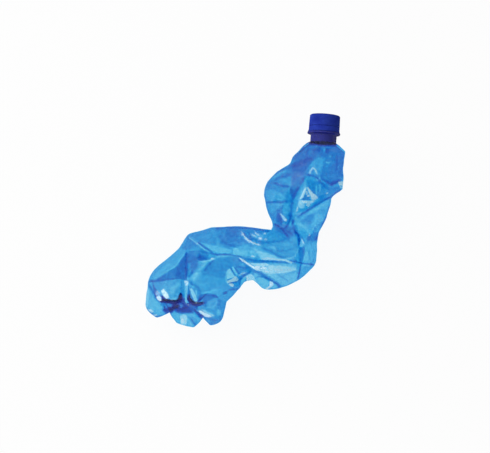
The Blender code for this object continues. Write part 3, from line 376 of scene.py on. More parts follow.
    "foot_a_spot": (0.24, 0.66, 0.7, [(-91.4, -88), (-88, -87.8), (-87, -88.8), (-90.4, -89.2)]),
    "foot_a_side": (0.38, 0.03, 1.4, [(-88, -79), (-82, -77.6), (-81, -84), (-84, -88), (-89, -85)]),
    "foot_d": (0.62, 0.02, 1.2, [(-95.5, -56), (-80, -53.7), (-63, -51.6), (-62, -64), (-64, -69),
        (-67, -73), (-73, -73.6), (-76, -71), (-84, -67), (-90, -64)]),
    "foot_d_light": (0.45, 0.04, 1.6, [(-64.6, -54), (-63.4, -58), (-69, -68), (-75, -66), (-72, -60)]),
    "foot_d_right": (0.62, 0, 1.4, [(-63, -56), (-62, -65), (-65, -70), (-70, -70), (-68, -63)]),
    "foot_d_low": (0.34, 0.04, 1, [(-74, -72), (-69, -70.4), (-66, -71), (-67.5, -73), (-73, -73.8)]),
    # The pale patches from here to foot_d_white_c are painted highlights on the near foot's side.
    "foot_d_highlight": (0.34, 0.28, 1.2, [(-88.8, -66.4), (-86, -63.4), (-83.8, -66), (-83.4, -69),
        (-87.6, -68.8)]),
    "foot_d_white_a": (0.2, 0.78, 0.8, [(-87.6, -70), (-85, -68.6), (-82.6, -70), (-82, -73.4),
        (-84, -74), (-86.6, -72.6)]),
    "foot_d_white_b": (0.2, 0.62, 1, [(-82.6, -63.4), (-80, -61.8), (-75.6, -66.6), (-74.6, -70.4),
        (-77.4, -71.8), (-80, -69.4)]),
    "foot_d_white_c": (0.2, 0.86, 0.8, [(-80.4, -66.6), (-78, -65.8), (-75.6, -68.6), (-76, -70.8),
        (-77.8, -71.2), (-79.8, -69)]),
    "base_left_hollow": (1.3, 0, 1, [(-82.4, -69.6), (-81, -69.4), (-79, -71.8), (-74, -73.5), (-74, -76),
        (-81, -75.2)]),
    "base_left": (0.9, 0, 1.4, [(-84, -76), (-76, -76.8), (-71, -78), (-71, -80.5), (-76, -82),
        (-81, -80), (-84, -78)]),
    "base_dark": (2.05, 0, 1.6, [(-81, -82.6), (-76, -82), (-71, -80.6), (-71, -78), (-66, -76.5),
        (-58, -76), (-52, -79.5), (-47, -80), (-48, -84), (-52, -86), (-58, -87), (-66, -86.6),
        (-71, -84), (-74, -87), (-79, -87)]),
    "base_darkest": (2.2, 0, 1.4, [(-72.4, -77.6), (-68, -77), (-64, -82), (-57, -81.6), (-54, -84),
        (-57, -85.6), (-66, -85.2), (-69.6, -82), (-72, -82.6)]),
    "base_heart": (1.9, 0, 1.4, [(-62.8, -70.6), (-59.8, -71), (-59.6, -78), (-56.4, -78.8), (-55.4, -76),
        (-52, -79.6), (-58, -81), (-68, -79), (-66, -76)]),
    "gate": (0.9, 0.03, 0.8, [(-65.2, -78.4), (-62, -77.8), (-61.4, -79.6), (-63.4, -82),
        (-65.2, -80.6)]),
    "base_right": (1.3, 0, 1.4, [(-56, -79), (-50, -79.6), (-48, -83), (-52, -85.6), (-55, -83)]),
    # This patch and the next are painted shadow under the tips of the two nearer feet, dark enough to
    # turn solid navy.
    "crescent_d": (3.8, 0, 1.4, [(-63.2, -66.4), (-61.8, -66.4), (-61.4, -70), (-63, -73.8), (-66, -76),
        (-70, -77.2), (-75, -76.6), (-80, -75.6), (-84.5, -75.2), (-82, -73.6), (-76, -74.4),
        (-70, -74.8), (-66, -73.6), (-64.3, -71)]),
    "crescent_e": (3.8, 0, 1.4, [(-57.2, -67), (-55.8, -67.2), (-54.8, -71), (-52.3, -74.8), (-50, -76.6),
        (-46, -77.3), (-42, -76.3), (-40.6, -76.6), (-43.5, -78.5), (-48, -79.3), (-52, -78.2),
        (-55, -75.8), (-57, -72)]),
    "rib_left": (0.72, 0, 0.9, [(-63, -52), (-60, -53), (-60, -72), (-61.4, -72), (-62.2, -64)]),
    "rib": (0.34, 0.1, 0.8, [(-59.8, -54), (-56.2, -54), (-56.6, -60), (-56.6, -68), (-57, -77.6),
        (-59, -77.6), (-59.4, -68), (-58.8, -60)]),
    "rib_head": (0.3, 0.45, 0.8, [(-60, -54), (-55.8, -54), (-55.8, -57), (-57.2, -59), (-58.4, -57.6)]),
    "rib_shadow": (1.0, 0, 0.9, [(-56.2, -58), (-55, -59), (-55, -67), (-56.4, -67)]),
    "foot_e": (0.74, 0, 1.2, [(-55, -60), (-48, -60), (-45, -63), (-46, -74), (-49, -76.4), (-52, -74.6),
        (-54.6, -69)]),
    "foot_e_petal": (0.24, 0.12, 0.9, [(-54.8, -61), (-52, -61), (-50, -64.5), (-47.8, -69), (-46.8, -74),
        (-48, -76), (-49.5, -75.5), (-51.5, -70), (-53.5, -66)]),
    "foot_e_side": (0.4, 0.06, 0.9, [(-49, -63), (-47.4, -62.5), (-47, -68), (-48.2, -68)]),
    "foot_e_outer": (1.05, 0, 1.2, [(-57, -53), (-51, -56), (-45, -60), (-42.4, -65), (-42, -70),
        (-44, -76), (-46, -75), (-45.6, -66), (-48, -60.6), (-53, -57.6)]),
    "foot_e_corner": (1.3, 0, 1.2, [(-44.4, -67.4), (-41.8, -67.4), (-42, -71), (-45.4, -74.6),
        (-46, -71)]),
    "between_feet": (1.0, 0, 1.2, [(-42, -67.4), (-31, -68), (-27, -70), (-33, -73), (-38, -75.4),
        (-42, -76)]),
    "between_feet_dark": (1.3, 0, 0.8, [(-32.6, -68.4), (-28, -69.4), (-26.4, -71), (-29, -71),
        (-32.4, -69.8)]),
    "foot_c": (0.78, 0.02, 1.6, [(-49, -84), (-44, -80), (-38, -75), (-26, -72.6), (-20, -78), (-20, -92),
        (-32, -102), (-42, -96), (-46, -88)]),
    "foot_c_light": (0.5, 0.06, 2, [(-37, -74.4), (-28, -73), (-26, -76), (-31, -82), (-38, -82)]),
    "foot_c_edge": (0.7, 0, 1.4, [(-24.4, -73), (-19, -75), (-19, -90), (-23.6, -94), (-22.6, -84)]),
    "foot_c_side": (0.34, 0.06, 1.4, [(-27, -82), (-24, -83), (-23.6, -88), (-27, -90), (-28.4, -86)]),
    # This patch and the next are painted highlights on the foot's inner slope.
    "foot_c_highlight": (0.28, 0.3, 0.9, [(-44, -82.4), (-42, -82.4), (-36, -86.2), (-29.6, -88.6), (-32, -90),
        (-38, -87.4)]),
    "foot_c_white": (0.2, 0.9, 0.8, [(-46.4, -84), (-44, -83.6), (-40, -86), (-35, -88.2), (-33, -89.8),
        (-36, -90.6), (-40, -89.8), (-43.4, -87)]),
    "foot_b": (0.4, 0.01, 1.4, [(-74, -86), (-66, -87.4), (-52, -87), (-43, -93), (-48, -104),
        (-66, -102), (-75, -94)]),
    "foot_b_line": (1.5, 0, 1, [(-51, -84.4), (-48.4, -85), (-43.6, -89.4), (-40.6, -92.4), (-43, -93),
        (-47, -89.2)]),
    "foot_b_left": (0.34, 0, 1.4, [(-73, -87.4), (-70, -86.6), (-66, -90), (-66, -96), (-71, -93)]),
    # This patch and the next are a painted highlight on the foot.
    "foot_b_highlight": (0.12, 0.2, 1, [(-64.6, -89.6), (-61, -88), (-58.4, -88.6), (-57.4, -92), (-58.4, -98),
        (-61, -99), (-64.4, -97)]),
    "foot_b_white": (0.1, 0.6, 0.8, [(-64, -92.4), (-61.6, -91.6), (-60.4, -93), (-60.8, -96),
        (-63.4, -97.4)]),
    "foot_b_right": (0.62, 0, 1.4, [(-57, -90), (-52, -90), (-47, -94), (-49, -101), (-53, -96)]),
}

# Lines of the front wall: how far each lifts or sinks the wall, how far its flanks run to each
# side (mm), how white it is painted, mostly painted highlights on ridges and glints with some
# crazing, or how dark (below 0), for doubled wall and painted shade in creases, how wide that mark
# is (mm), and its points (u, v).
FRONT_LINES = {
    "root_left": (-0.1, 2, -0.3, 1.4, [(63.8, 81.4), (62.1, 75.1), (60.3, 68.2)]),
    # A lighter line between the two patches of the neck thread's painted shadow.
    "thread_shadow_gap": (0.1, 2, 0.023, 1.4, [(79.6, 78.4), (79.4, 74.6)]),
    "valley": (-0.9, 5, -0.3, 2.2, [(67, 67.5), (60.9, 67), (55.2, 64.5), (49.4, 61.6), (45.6, 59)]),
    "valley_low": (-0.6, 4, -0.4, 1.6, [(47, 52.4), (38, 49.4), (29.4, 47)]),
    "lobe_rim": (0.5, 3, 0.023, 1.6, [(42, 56.4), (33.9, 52.1), (26.5, 47)]),
    "ring": (0.5, 2, 0.35, 1.0, [(64.6, 51.4), (65, 55), (67.4, 57.8), (70, 56), (71.6, 51.4)]),
    "ring_shadow": (-0.4, 1.8, -0.5, 1.5, [(67.4, 56), (67.6, 52.8)]),
    "spot_high": (0.3, 1.6, 0.14, 1.3, [(84.2, 69), (85.8, 70.2)]),
    "spot_low": (0.3, 1.6, 0.09, 1.0, [(79.9, 64.2), (82.7, 63.2), (85.8, 63.8)]),
    "strip_line": (-0.3, 2.4, -0.35, 1.4, [(92, 72), (92.4, 62), (91.6, 54)]),
    "lip": (-0.8, 3, -0.8, 1.2, [(60.3, 50.9), (64.9, 50.6), (69, 49.4), (72.4, 47.4), (75.9, 43.2),
        (79, 41.5)]),
    "lip_right": (-0.8, 3.2, -0.6, 1.4, [(75.3, 51), (78.1, 46), (83.9, 41.4), (87.3, 41), (94.2, 45.2),
        (97, 47)]),
    "lip_glint": (0.4, 1.8, 0.09, 0.9, [(70.1, 46.4), (74, 45.4), (77.4, 43.6)]),
    "lip_glint_up": (0.3, 1.8, 0.054, 1.0, [(74.8, 49.8), (74.4, 46.4)]),
    "fold_edge": (-0.9, 4, -0.4, 1.4, [(60, 50.2), (56.3, 42.4), (52.3, 36), (49.6, 31), (47.4, 26)]),
    "fold_low": (-0.5, 4, -0.2, 1.6, [(47, 28), (46, 20.2), (44.9, 11.6), (41.4, 3.5), (38.5, -1.6)]),
    "streak_a": (0.2, 1.6, 0.054, 0.9, [(71.3, 42), (71.4, 35), (71.8, 29.5)]),
    "streak_c": (0.2, 1.6, 0.063, 1.0, [(75.2, 42), (75, 36), (73.4, 30.5)]),
    "spot_middle": (0.3, 1.4, 0.6, 1.1, [(81.4, 32.4), (82.4, 33.2)]),
    "dent_right": (0.5, 2, 0.09, 0.9, [(60.9, 39.3), (65.5, 34), (69, 30.6), (72.8, 28), (73, 26.4)]),
    "dent_left": (0.4, 2, 0.09, 0.8, [(60.4, 39), (57.5, 34), (55, 28.6), (54, 25.4), (53, 20.6),
        (51.4, 14.4)]),
    "dent_low": (0.4, 2, 0.09, 0.9, [(72.6, 26.2), (68, 23.6), (66.2, 20.6), (62.8, 18.8)]),
    "dent_shadow": (-0.3, 1.4, -0.5, 0.7, [(55.6, 26.6), (60, 26.4), (66.6, 26)]),
    "flap_edge": (-0.9, 2.4, -0.7, 1.1, [(97.4, 36), (87.4, 29.6), (78.1, 25.7), (66.7, 18.2),
        (58.6, 12.5), (51.7, 8.6)]),
    "flap_light": (0.6, 3, 0.023, 2.0, [(84, 25), (72.4, 17.6), (60.9, 10.6), (54.6, 5.4)]),
    "flap_line": (-0.4, 2.4, -0.3, 1.3, [(77.6, 3.5), (72.4, 0.6), (69.5, -3.9), (66.7, -8.5),
        (62.1, -16)]),
    "flap_band": (0.4, 3, 0.023, 2.4, [(51.7, 2.9), (60.9, -3.4), (66.7, -9.1)]),
    "flap_sparkle_a": (0.2, 1.2, 0.09, 0.8, [(72, 12), (76, 9)]),
    "flap_sparkle_b": (0.2, 1.2, 0.09, 0.8, [(71.6, 8), (75.6, 4.6)]),
    "flap_sparkle_c": (0.2, 1.2, 0.09, 0.8, [(69, 1), (72.6, -2.4)]),
    "flap_sparkle_d": (0.2, 1.2, 0.09, 0.8, [(67, -1.6), (70, -5)]),
    "spot_elbow": (0.4, 1.4, 0.7, 1.3, [(64, -8.6), (65.2, -9)]),
    "edge_right": (-0.2, 2, -0.6, 1.2, [(85, 20), (83, 12), (80, 5), (76, -2)]),
    "edge_elbow": (-0.2, 2, -0.7, 1.6, [(73, -9), (72.2, -12), (71.4, -14.8)]),
    "lobe_crease": (-0.5, 2.6, -0.7, 1.0, [(27.6, 43.4), (34.5, 41.4), (40, 39.8), (44.9, 39.4)]),
    "lobe_crease_low": (-0.5, 2.6, -0.5, 0.9, [(21.5, 23.4), (32.2, 23.8), (40.8, 24.2), (43.6, 23)]),
    "crossing_a": (-0.5, 2.4, -1.0, 1.1, [(28.8, 2.2), (33.9, -0.5), (38, -3.4), (43.7, -11.4)]),
    "crossing_b": (-0.5, 2.4, -0.9, 1.1, [(38, -3.4), (42, 0.7), (44.9, 6.4), (46, 12)]),
    "crossing_c": (-0.4, 2.2, -0.8, 1.0, [(39.7, -3.7), (43.4, -6), (47.1, -8.7)]),
    "elbow_fold": (-0.8, 3, -1, 1.3, [(47.6, 7), (47.4, 1.2), (50.4, -5), (53, -8.4), (54, -14),
        (53.8, -19.5)]),
    "elbow_thin": (-0.4, 2, -0.4, 0.9, [(49, 2), (52.6, -5.4), (56, -10.6), (59.8, -17)]),
    "diamond_glint": (0.4, 1.4, 0.5, 0.8, [(56, -12.6), (57.4, -15.4), (58.8, -18)]),
    "wedge_line": (-0.6, 2, -1, 0.8, [(55.4, -37.4), (55, -42), (54, -48), (52.6, -53.6)]),
    "elbow_dark": (-0.3, 2, -0.3, 1.0, [(63.6, -24), (63.6, -29), (64.4, -34.4)]),
    "ridge_right": (-0.5, 2.2, -0.8, 0.8, [(43.8, -34), (49.4, -35.4), (55.2, -36.9), (63.8, -37.9),
        (69.4, -39)]),
    "ridge_right_light": (0.3, 1.6, 0.11, 0.8, [(56.4, -38.6), (63.8, -39.4), (66, -39.8)]),
    "elbow_arc": (0.5, 2.2, 0.099, 0.9, [(53.6, -21.6), (52, -26), (50, -30), (46, -31.6), (40, -32.4)]),
    "inner_arc": (-0.4, 2.6, -0.3, 0.9, [(31, -24.6), (40.6, -24.4), (47, -22.6), (52.6, -19.6)]),
    "inner_arc_low": (-0.4, 2.6, -0.4, 1.2, [(15.7, -21.3), (24.6, -24.7), (32.4, -29.4), (40, -31)]),
    "waist_line": (-0.3, 2.4, -0.3, 1.4, [(14, -15.4), (26, -16), (36, -14.6), (44, -11)]),
    "top_rim": (-0.2, 2, -0.5, 1.0, [(-30, -2.2), (-16, -1.4), (-4, -1.2), (6, -2), (16, -4),
        (25, -5.2)]),
    # The cluster lines and the white arc that follow are painted highlights on the ripples at the bend.
    "cluster_a": (0.3, 1.4, 0.5, 0.9, [(9.2, -5.6), (11.4, -7.8), (15, -9.6)]),
    "cluster_b": (0.3, 1.4, 0.45, 1.0, [(6, -8.4), (8.6, -9.4), (11.6, -10.7)]),
    "cluster_c": (0.4, 1.4, 0.85, 1.2, [(13.2, -11.7), (15.6, -12.6), (17, -13.6)]),
    "cluster_d": (0.3, 1.4, 0.7, 1.2, [(19, -7), (20.4, -8)]),
    "cluster_e": (0.3, 1.4, 0.6, 1.2, [(18.6, -13.4), (20.8, -13), (21, -14.4)]),
    "cluster_f": (0.3, 1.4, 0.11, 1.0, [(15.4, -9.6), (17.6, -11.2)]),
    "cluster_shadow": (-0.4, 2, -0.4, 1.4, [(4, -6), (5, -10.6), (12, -14.6), (20, -16.8)]),
    "white_arc": (0.5, 1.8, 0.85, 0.65, [(-3.9, -5.6), (-1.8, -9), (0.8, -11.8), (4, -14.4), (7, -16.4),
        (10.8, -18), (15.4, -19.6)]),
    "arc_shadow": (-0.5, 3, -0.35, 1.6, [(-5.8, -8), (-3.6, -12), (2, -17), (9, -20.4)]),
    "arc_inner": (-0.3, 2.4, -0.4, 1.6, [(-2, -6), (2, -10), (8, -15)]),
    "panel_glint": (0.3, 1.6, 0.072, 1.0, [(8, -21.7), (10.4, -23.8), (13, -25.6)]),
    "panel_dark_a": (-0.3, 2.6, -0.3, 1.4, [(-24, -14), (-16, -18.4), (-9, -20.4)]),
    "panel_dark_b": (-0.3, 2.6, -0.3, 1.2, [(-22, -19), (-14, -22.6)]),
    "corner_crease": (0.5, 2.2, 0.09, 0.7, [(-56.6, -10.6), (-52, -14), (-47.8, -17.4), (-44, -20),
        (-40, -23), (-36.1, -25.8)]),
    "corner_spot": (0.2, 1.4, 0.35, 0.9, [(-48.2, -17), (-46.8, -18.2)]),
    "corner_line": (-0.4, 1.8, -0.7, 0.9, [(-47, -15.6), (-41.6, -19.6), (-35.6, -23.7), (-31, -27.2)]),
    "ridge_line": (-0.6, 2.4, -0.7, 0.9, [(-35.6, -26.6), (-28.7, -27.9), (-18.3, -27.9), (-8, -29.6),
        (-1.1, -31.4)]),
    "ridge_line_low": (-0.6, 2.4, -0.4, 1.1, [(-3, -31.4), (7.5, -33.8), (20, -35.2), (34, -35.4),
        (43.8, -37)]),
    "ridge_cyan": (0.5, 2, 0.054, 0.9, [(-28.4, -30.8), (-24.1, -29.7), (-16, -29.3), (-10, -30)]),
    "corner_low_tip": (0.3, 1.4, 0.6, 0.9, [(-33.6, -32.6), (-31.2, -32)]),
    "corner_low": (0.5, 2, 0.054, 0.9, [(-43.6, -35), (-38, -34.6), (-33, -33.2), (-29.4, -31.8)]),
    "diagonal_line": (-0.4, 2.2, -0.4, 0.9, [(-31, -33.4), (-36, -38.6), (-41.6, -46)]),
    "diagonal": (0.5, 3, 0.023, 1.6, [(-37.5, -36.4), (-44.2, -43.2), (-49.3, -48), (-53.2, -53)]),
    "corner_facet": (-0.4, 2, -0.4, 1.0, [(-45.4, -24.6), (-44.8, -29), (-44.4, -33)]),
    "corner_upper": (-0.3, 2, -0.35, 1.0, [(-57, -25.4), (-46, -25), (-36, -26.4)]),
    "knot_line": (-0.8, 3, -0.6, 1.0, [(-57.7, -25), (-57.8, -34.2), (-58, -45.7), (-58.6, -52)]),
    "heel_fold": (-0.8, 3, -0.4, 1.0, [(-97, -55.4), (-85, -54), (-73, -52), (-62, -50.9)]),
    "heel_spot": (-0.2, 1.4, -1.6, 1.2, [(-97, -55.2), (-95.6, -55.4)]),
    "left_lip": (0.6, 3, 0.009, 1.4, [(-93, -54), (-85, -50), (-75, -43.4), (-67.4, -38.4), (-59, -26)]),
    "low_shadow": (-0.6, 2.6, -0.4, 1.2, [(-42, -68.4), (-33.3, -68), (-29, -69), (-25.6, -71)]),
    "scoop_spots": (-0.4, 1.8, -1.2, 1.2, [(-21.4, -66.6), (-19, -66), (-17.6, -65.4)]),
    "scoop_spots_line": (-0.4, 2, -0.5, 1.0, [(-17.6, -63.6), (-12, -63), (-6, -63)]),
    "scoop_rim": (0.5, 1.8, 0.072, 0.8, [(-14.9, -41.6), (-17.8, -45.7), (-18.7, -50.3), (-18.2, -54.8),
        (-15.4, -58.6)]),
    "scoop_line": (-0.5, 1.6, -0.6, 0.8, [(-14.2, -40.8), (-12.6, -44.6), (-9.4, -50)]),
    "scoop_glint": (0.4, 1.4, 0.14, 0.8, [(-12.4, -41.4), (-10, -44.4), (-7.6, -48)]),
    "scoop_line_b": (-0.4, 1.4, -0.4, 0.8, [(-10.6, -41.4), (-7.4, -45), (-5.2, -48.6)]),
    "scoop_glint_right": (0.5, 1.5, 0.4, 0.9, [(-6.8, -50.2), (-3, -47.8), (0.6, -45.6)]),
    "scoop_line_right": (-0.6, 1.8, -0.5, 1.0, [(-5.3, -53.4), (-1, -50), (3.5, -47.2), (6.4, -43.4)]),
    "scoop_crease": (-0.5, 1.6, -0.7, 0.8, [(-16.4, -56.4), (-12, -56), (-7, -55.2)]),
    "scoop_facet": (0.4, 1.4, 0.14, 0.8, [(-2.8, -55), (-0.8, -51.6), (1.8, -49.2)]),
    "scoop_roof": (-0.4, 2, -0.4, 1.2, [(-9, -40.6), (-2, -41.6), (3, -42.4)]),
    "wedge_shadow": (-0.7, 3, -0.3, 1.4, [(-9.7, -29.8), (-2.3, -36.2), (4, -41.6), (10.4, -45.6),
        (20, -49.4)]),
    "white_wedge": (0.6, 2.2, 0.2, 0.9, [(-6.3, -31.4), (-1.1, -34.4), (4.6, -38), (10.4, -41.8),
        (15.6, -44.4)]),
    "belly_pit_a": (-0.4, 1.4, -0.35, 1.0, [(19.6, -39.4), (21.4, -39.8)]),
    "belly_pit_b": (-0.3, 1.4, -0.3, 0.9, [(15.4, -43), (17, -43.4)]),
    "belly_pit_c": (-0.3, 1.4, -0.3, 0.9, [(22.8, -41.4), (23.4, -42.6)]),
    "belly_line": (-0.3, 2.4, -0.3, 0.9, [(29.7, -46.2), (37, -51), (43.8, -55.8)]),
    "lobe_arc": (-0.8, 3, -0.5, 1.0, [(10.4, -51.9), (14, -50.6), (18.3, -50.7), (24.6, -53.4),
        (32.3, -58.5), (36, -62)]),
    "foot_d_dot": (-0.4, 1.2, -1.2, 0.8, [(-82.2, -69.6), (-81.4, -71.6)]),
    "foot_a_line": (-0.7, 3, -0.4, 1.2, [(-96, -57.6), (-92, -64.4), (-87.8, -71.4), (-84.6, -75)]),
    "foot_a_dot": (-0.4, 1.4, -2.4, 1.0, [(-80.2, -79.8), (-79.6, -81.2)]),
    "foot_a_edge": (-0.2, 1.6, -0.5, 1.0, [(-98.6, -81), (-94.6, -86), (-88, -90), (-81, -89)]),
    "base_left_line": (-0.5, 1.8, -1, 1.0, [(-69.8, -78.4), (-69, -80.6), (-67.6, -83)]),
    "base_left_glint": (0.2, 1.4, 0.09, 0.9, [(-76.4, -77.2), (-74.6, -77.8)]),
    # This line and the next are painted shade round the shadows under the two nearer feet.
    "halo_d": (-0.3, 2, -0.7, 2.6, [(-62.4, -68), (-63.4, -73), (-68, -76.4), (-76, -76.2), (-83, -75)]),
    "halo_e": (-0.3, 2, -0.7, 2.2, [(-56, -68), (-54.6, -73.6), (-50, -77.6), (-43, -77.4)]),
    "rib": (0.5, 1.6, 0.14, 0.9, [(-57.4, -55.6), (-57.2, -60), (-57.3, -66), (-57.9, -71), (-58, -74.6),
        (-56.6, -78.3)]),
    "rib_head_dot": (-0.2, 1.2, -0.9, 0.7, [(-58.8, -55.8), (-58.4, -57)]),
    "rib_left": (-0.4, 1.4, -0.3, 0.8, [(-62.4, -54), (-62.2, -64)]),
    "rib_foot": (0.2, 1.2, 0.4, 1.0, [(-56.9, -77.4), (-56.3, -78.6)]),
    "foot_e_streak": (0.5, 1.6, 0.072, 0.9, [(-53, -62.6), (-51, -66), (-49.2, -71), (-47.8, -75.4)]),
    "foot_e_tip": (0.3, 1.2, 0.4, 1.0, [(-48.4, -75), (-47.6, -75.8)]),
    "foot_e_line": (-0.5, 1.8, -0.4, 1.0, [(-54.8, -63), (-53.4, -69), (-50.4, -74.4)]),
    "foot_c_line": (-0.6, 2, -0.9, 1.0, [(-44.7, -77.8), (-41.9, -77), (-37.4, -74.6)]),
    "foot_c_crease": (0.3, 1.6, 0.09, 0.9, [(-42, -82.4), (-37, -85.4), (-31, -87.6)]),
    "foot_c_low": (-0.4, 1.6, -0.4, 1.0, [(-33.6, -94), (-30, -94), (-26.4, -92.6)]),
    "foot_c_low_light": (0.3, 1.6, 0.099, 1.0, [(-38, -93), (-34.6, -95.6)]),
    "foot_b_streak_a": (0.3, 1.2, 0.5, 0.7, [(-62, -94), (-62, -99)]),
    "foot_b_streak_b": (0.3, 1.2, 0.45, 0.7, [(-59.4, -92), (-59, -99)]),
    "foot_b_crease": (-0.5, 2, -0.6, 0.9, [(-53.6, -92.6), (-51, -96.6), (-48.4, -100.4)]),
    "foot_b_light": (0.2, 1.8, 0.072, 1.2, [(-55, -96), (-53, -99.6)]),
}

# Lines of the back wall, in the same way.
BACK_LINES = {
    "spine": (0.7, 4, 0.04, 1.1, [(-74, -52), (-52, -42), (-30, -37), (-8, -34), (14, -32), (36, -28),
        (52, -24)]),
    "low_valley": (-1.0, 4, -0.04, 1.3, [(-60, -61), (-38, -55), (-14, -49), (10, -47), (34, -46),
        (50, -42)]),
    "upper_valley": (-0.9, 4, -0.04, 1.3, [(-54, -21), (-32, -17), (-10, -14), (14, -13), (36, -14),
        (54, -9)]),
    "fan_a": (0.8, 3, 0.16, 1.0, [(28, -8), (36, -20), (44, -34), (56, -42)]),
    "fan_b": (0.8, 3, 0.14, 1.0, [(32, -5), (48, -3), (66, -8)]),
    "fan_c": (-0.7, 3, -0.2, 1.1, [(30, -6), (44, -14), (60, -26)]),
    "shoulder_crease": (0.8, 3, 0.12, 1.0, [(40, 4), (48, 20), (60, 36), (70, 52), (76, 68)]),
    "shoulder_valley": (-0.8, 3, -0.2, 1.2, [(60, 8), (68, 24), (78, 38), (90, 51)]),
    "lobe_valley": (-0.7, 3, -0.08, 1.2, [(28, 24), (36, 36), (44, 50), (56, 62)]),
    "lobe_crease": (0.6, 3, 0.06, 1.0, [(26, 34), (36, 22), (46, 12), (60, 2)]),
    "heel_crease": (0.7, 3, 0.14, 1.0, [(-84, -48), (-66, -40), (-50, -34), (-36, -22)]),
    "heel_line": (-0.6, 3, -0.16, 1.0, [(-76, -60), (-58, -48), (-40, -44)]),
    "belly_star_a": (0.6, 2.4, 0.18, 0.9, [(-12, -26), (2, -34), (12, -44)]),
    "belly_star_b": (0.6, 2.4, 0.16, 0.9, [(16, -22), (2, -34), (-14, -44)]),
    "belly_star_c": (-0.6, 2.4, -0.16, 1.0, [(2, -34), (6, -18), (4, -6)]),
    "side_crease": (0.6, 3, 0.12, 1.0, [(84, 30), (76, 16), (72, 0), (66, -18)]),
}


# ---------------------------------------------------------------- working on meshes


def select_only(piece):
    """Selects a piece alone and makes it the active one."""
    bpy.ops.object.select_all(action="DESELECT")
    piece.select_set(True)
    bpy.context.view_layer.objects.active = piece


def edit(piece, *steps):
    """Runs edit-mode steps on the whole of a piece."""
    select_only(piece)
    bpy.ops.object.mode_set(mode="EDIT")
    bpy.ops.mesh.select_all(action="SELECT")
    for step in steps:
        step()
    bpy.ops.object.mode_set(mode="OBJECT")


def choose_faces(piece, chosen):
    """Selects only the faces that chosen marks, for the edit steps that follow."""
    select_only(piece)
    bpy.context.tool_settings.mesh_select_mode = (False, False, True)
    piece.data.vertices.foreach_set("select", [False] * len(piece.data.vertices))
    piece.data.edges.foreach_set("select", [False] * len(piece.data.edges))
    piece.data.polygons.foreach_set("select", np.asarray(chosen).tolist())


def apply_modifier(piece, kind, **settings):
    modifier = piece.modifiers.new(kind.title(), kind)
    for name, value in settings.items():
        setattr(modifier, name, value)
    select_only(piece)
    bpy.ops.object.modifier_apply(modifier=modifier.name)


def places_of(piece):
    points = np.zeros(len(piece.data.vertices) * 3)
    piece.data.vertices.foreach_get("co", points)
    return points.reshape(-1, 3)


def normals_of(piece):
    normals = np.zeros(len(piece.data.vertices) * 3)
    piece.data.vertices.foreach_get("normal", normals)
    return normals.reshape(-1, 3)


def put_places(piece, points):
    piece.data.vertices.foreach_set("co", points.ravel())
    piece.data.update()


def smooth_step(x):
    x = np.clip(x, 0, 1)
    return x * x * (3 - 2 * x)


def layout(points):
    """World points in metres as u, v and h in millimetres."""
    x, y, z = ((np.asarray(points) - LAYOUT_ORIGIN) / MM).T
    return np.column_stack([
        x,
        y * math.cos(LEAN) + z * math.sin(LEAN),
        z * math.cos(LEAN) - y * math.sin(LEAN),
    ])


FRONT = np.array([0, -math.sin(LEAN), math.cos(LEAN)])


def along_neck(points):
    """How far points are along the neck from its root."""
    return (np.asarray(points) - np.array(NECK_ROOT)) @ np.array(NECK_WAY)


# ---------------------------------------------------------------- lines and panels on the wall


def line_distance(places, line):
    """How far each place is from a line of points, and how far along the line it is nearest."""
    line = np.array(line, float)
    steps = np.linalg.norm(np.diff(line, axis=0), axis=1)
    starts = np.concatenate([[0], np.cumsum(steps)])
    nearest, along = np.full(len(places), np.inf), np.zeros(len(places))
    for i, step in enumerate(steps):
        run = (line[i + 1] - line[i]) / step
        share = np.clip((places - line[i]) @ run, 0, step)
        gap = np.linalg.norm(places - line[i] - share[:, None] * run, axis=1)
        closer = gap < nearest
        nearest[closer], along[closer] = gap[closer], starts[i] + share[closer]
    return nearest, along, starts[-1]


def inside_share(places, corners, fade):
    """1 well inside a panel, 0 outside it, and between over the fade at its edge."""
    corners = np.array(corners, float)
    edge, _, _ = line_distance(places, np.vstack([corners, corners[:1]]))
    inside = np.zeros(len(places), bool)
    for (ax, ay), (bx, by) in zip(corners, np.roll(corners, -1, axis=0)):
        crosses = (ay > places[:, 1]) != (by > places[:, 1])
        with np.errstate(divide="ignore", invalid="ignore"):
            at = ax + (places[:, 1] - ay) * (bx - ax) / (by - ay)
        inside ^= crosses & (places[:, 0] < at)
    return smooth_step(0.5 + np.where(inside, edge, -edge) / fade)


def snap_to_lines(points, edges, facing, lines):
    """Slides points along their edges onto the lines that cross those edges."""
    held = np.zeros(len(points), bool)
    for line in lines:
        flat = layout(points)[:, :2]
        line = np.array(line, float)
        a, b = edges[:, 0], edges[:, 1]
        usable = facing[a] & facing[b]
        for p, q in zip(line[:-1], line[1:]):
            low, high = np.minimum(p, q) - SNAP_REACH, np.maximum(p, q) + SNAP_REACH
            near = usable & (flat[a] > low).all(axis=1) & (flat[a] < high).all(axis=1)
            ia, ib = a[near], b[near]
            # Where each edge meets this stretch of the line, as a share of either.
            way, run = q - p, flat[ib] - flat[ia]
            across = run[:, 0] * way[1] - run[:, 1] * way[0]
            across[np.abs(across) < TINY] = TINY
            gap = p - flat[ia]
            share = (gap[:, 0] * way[1] - gap[:, 1] * way[0]) / across
            along = (gap[:, 0] * run[:, 1] - gap[:, 1] * run[:, 0]) / across
            crossing = (share > 0) & (share < 1) & (along > -SNAP_PAST) & (along < 1 + SNAP_PAST)
            order = np.argsort(np.minimum(share[crossing], 1 - share[crossing]))
            for i, j, t in zip(ia[crossing][order], ib[crossing][order], share[crossing][order]):
                if held[i] or held[j]:
                    continue
                first = t < 0.5
                mover, anchor, move = (i, j, t) if first else (j, i, 1 - t)
                points[mover] += (points[anchor] - points[mover]) * move
                held[mover] = True
    return held


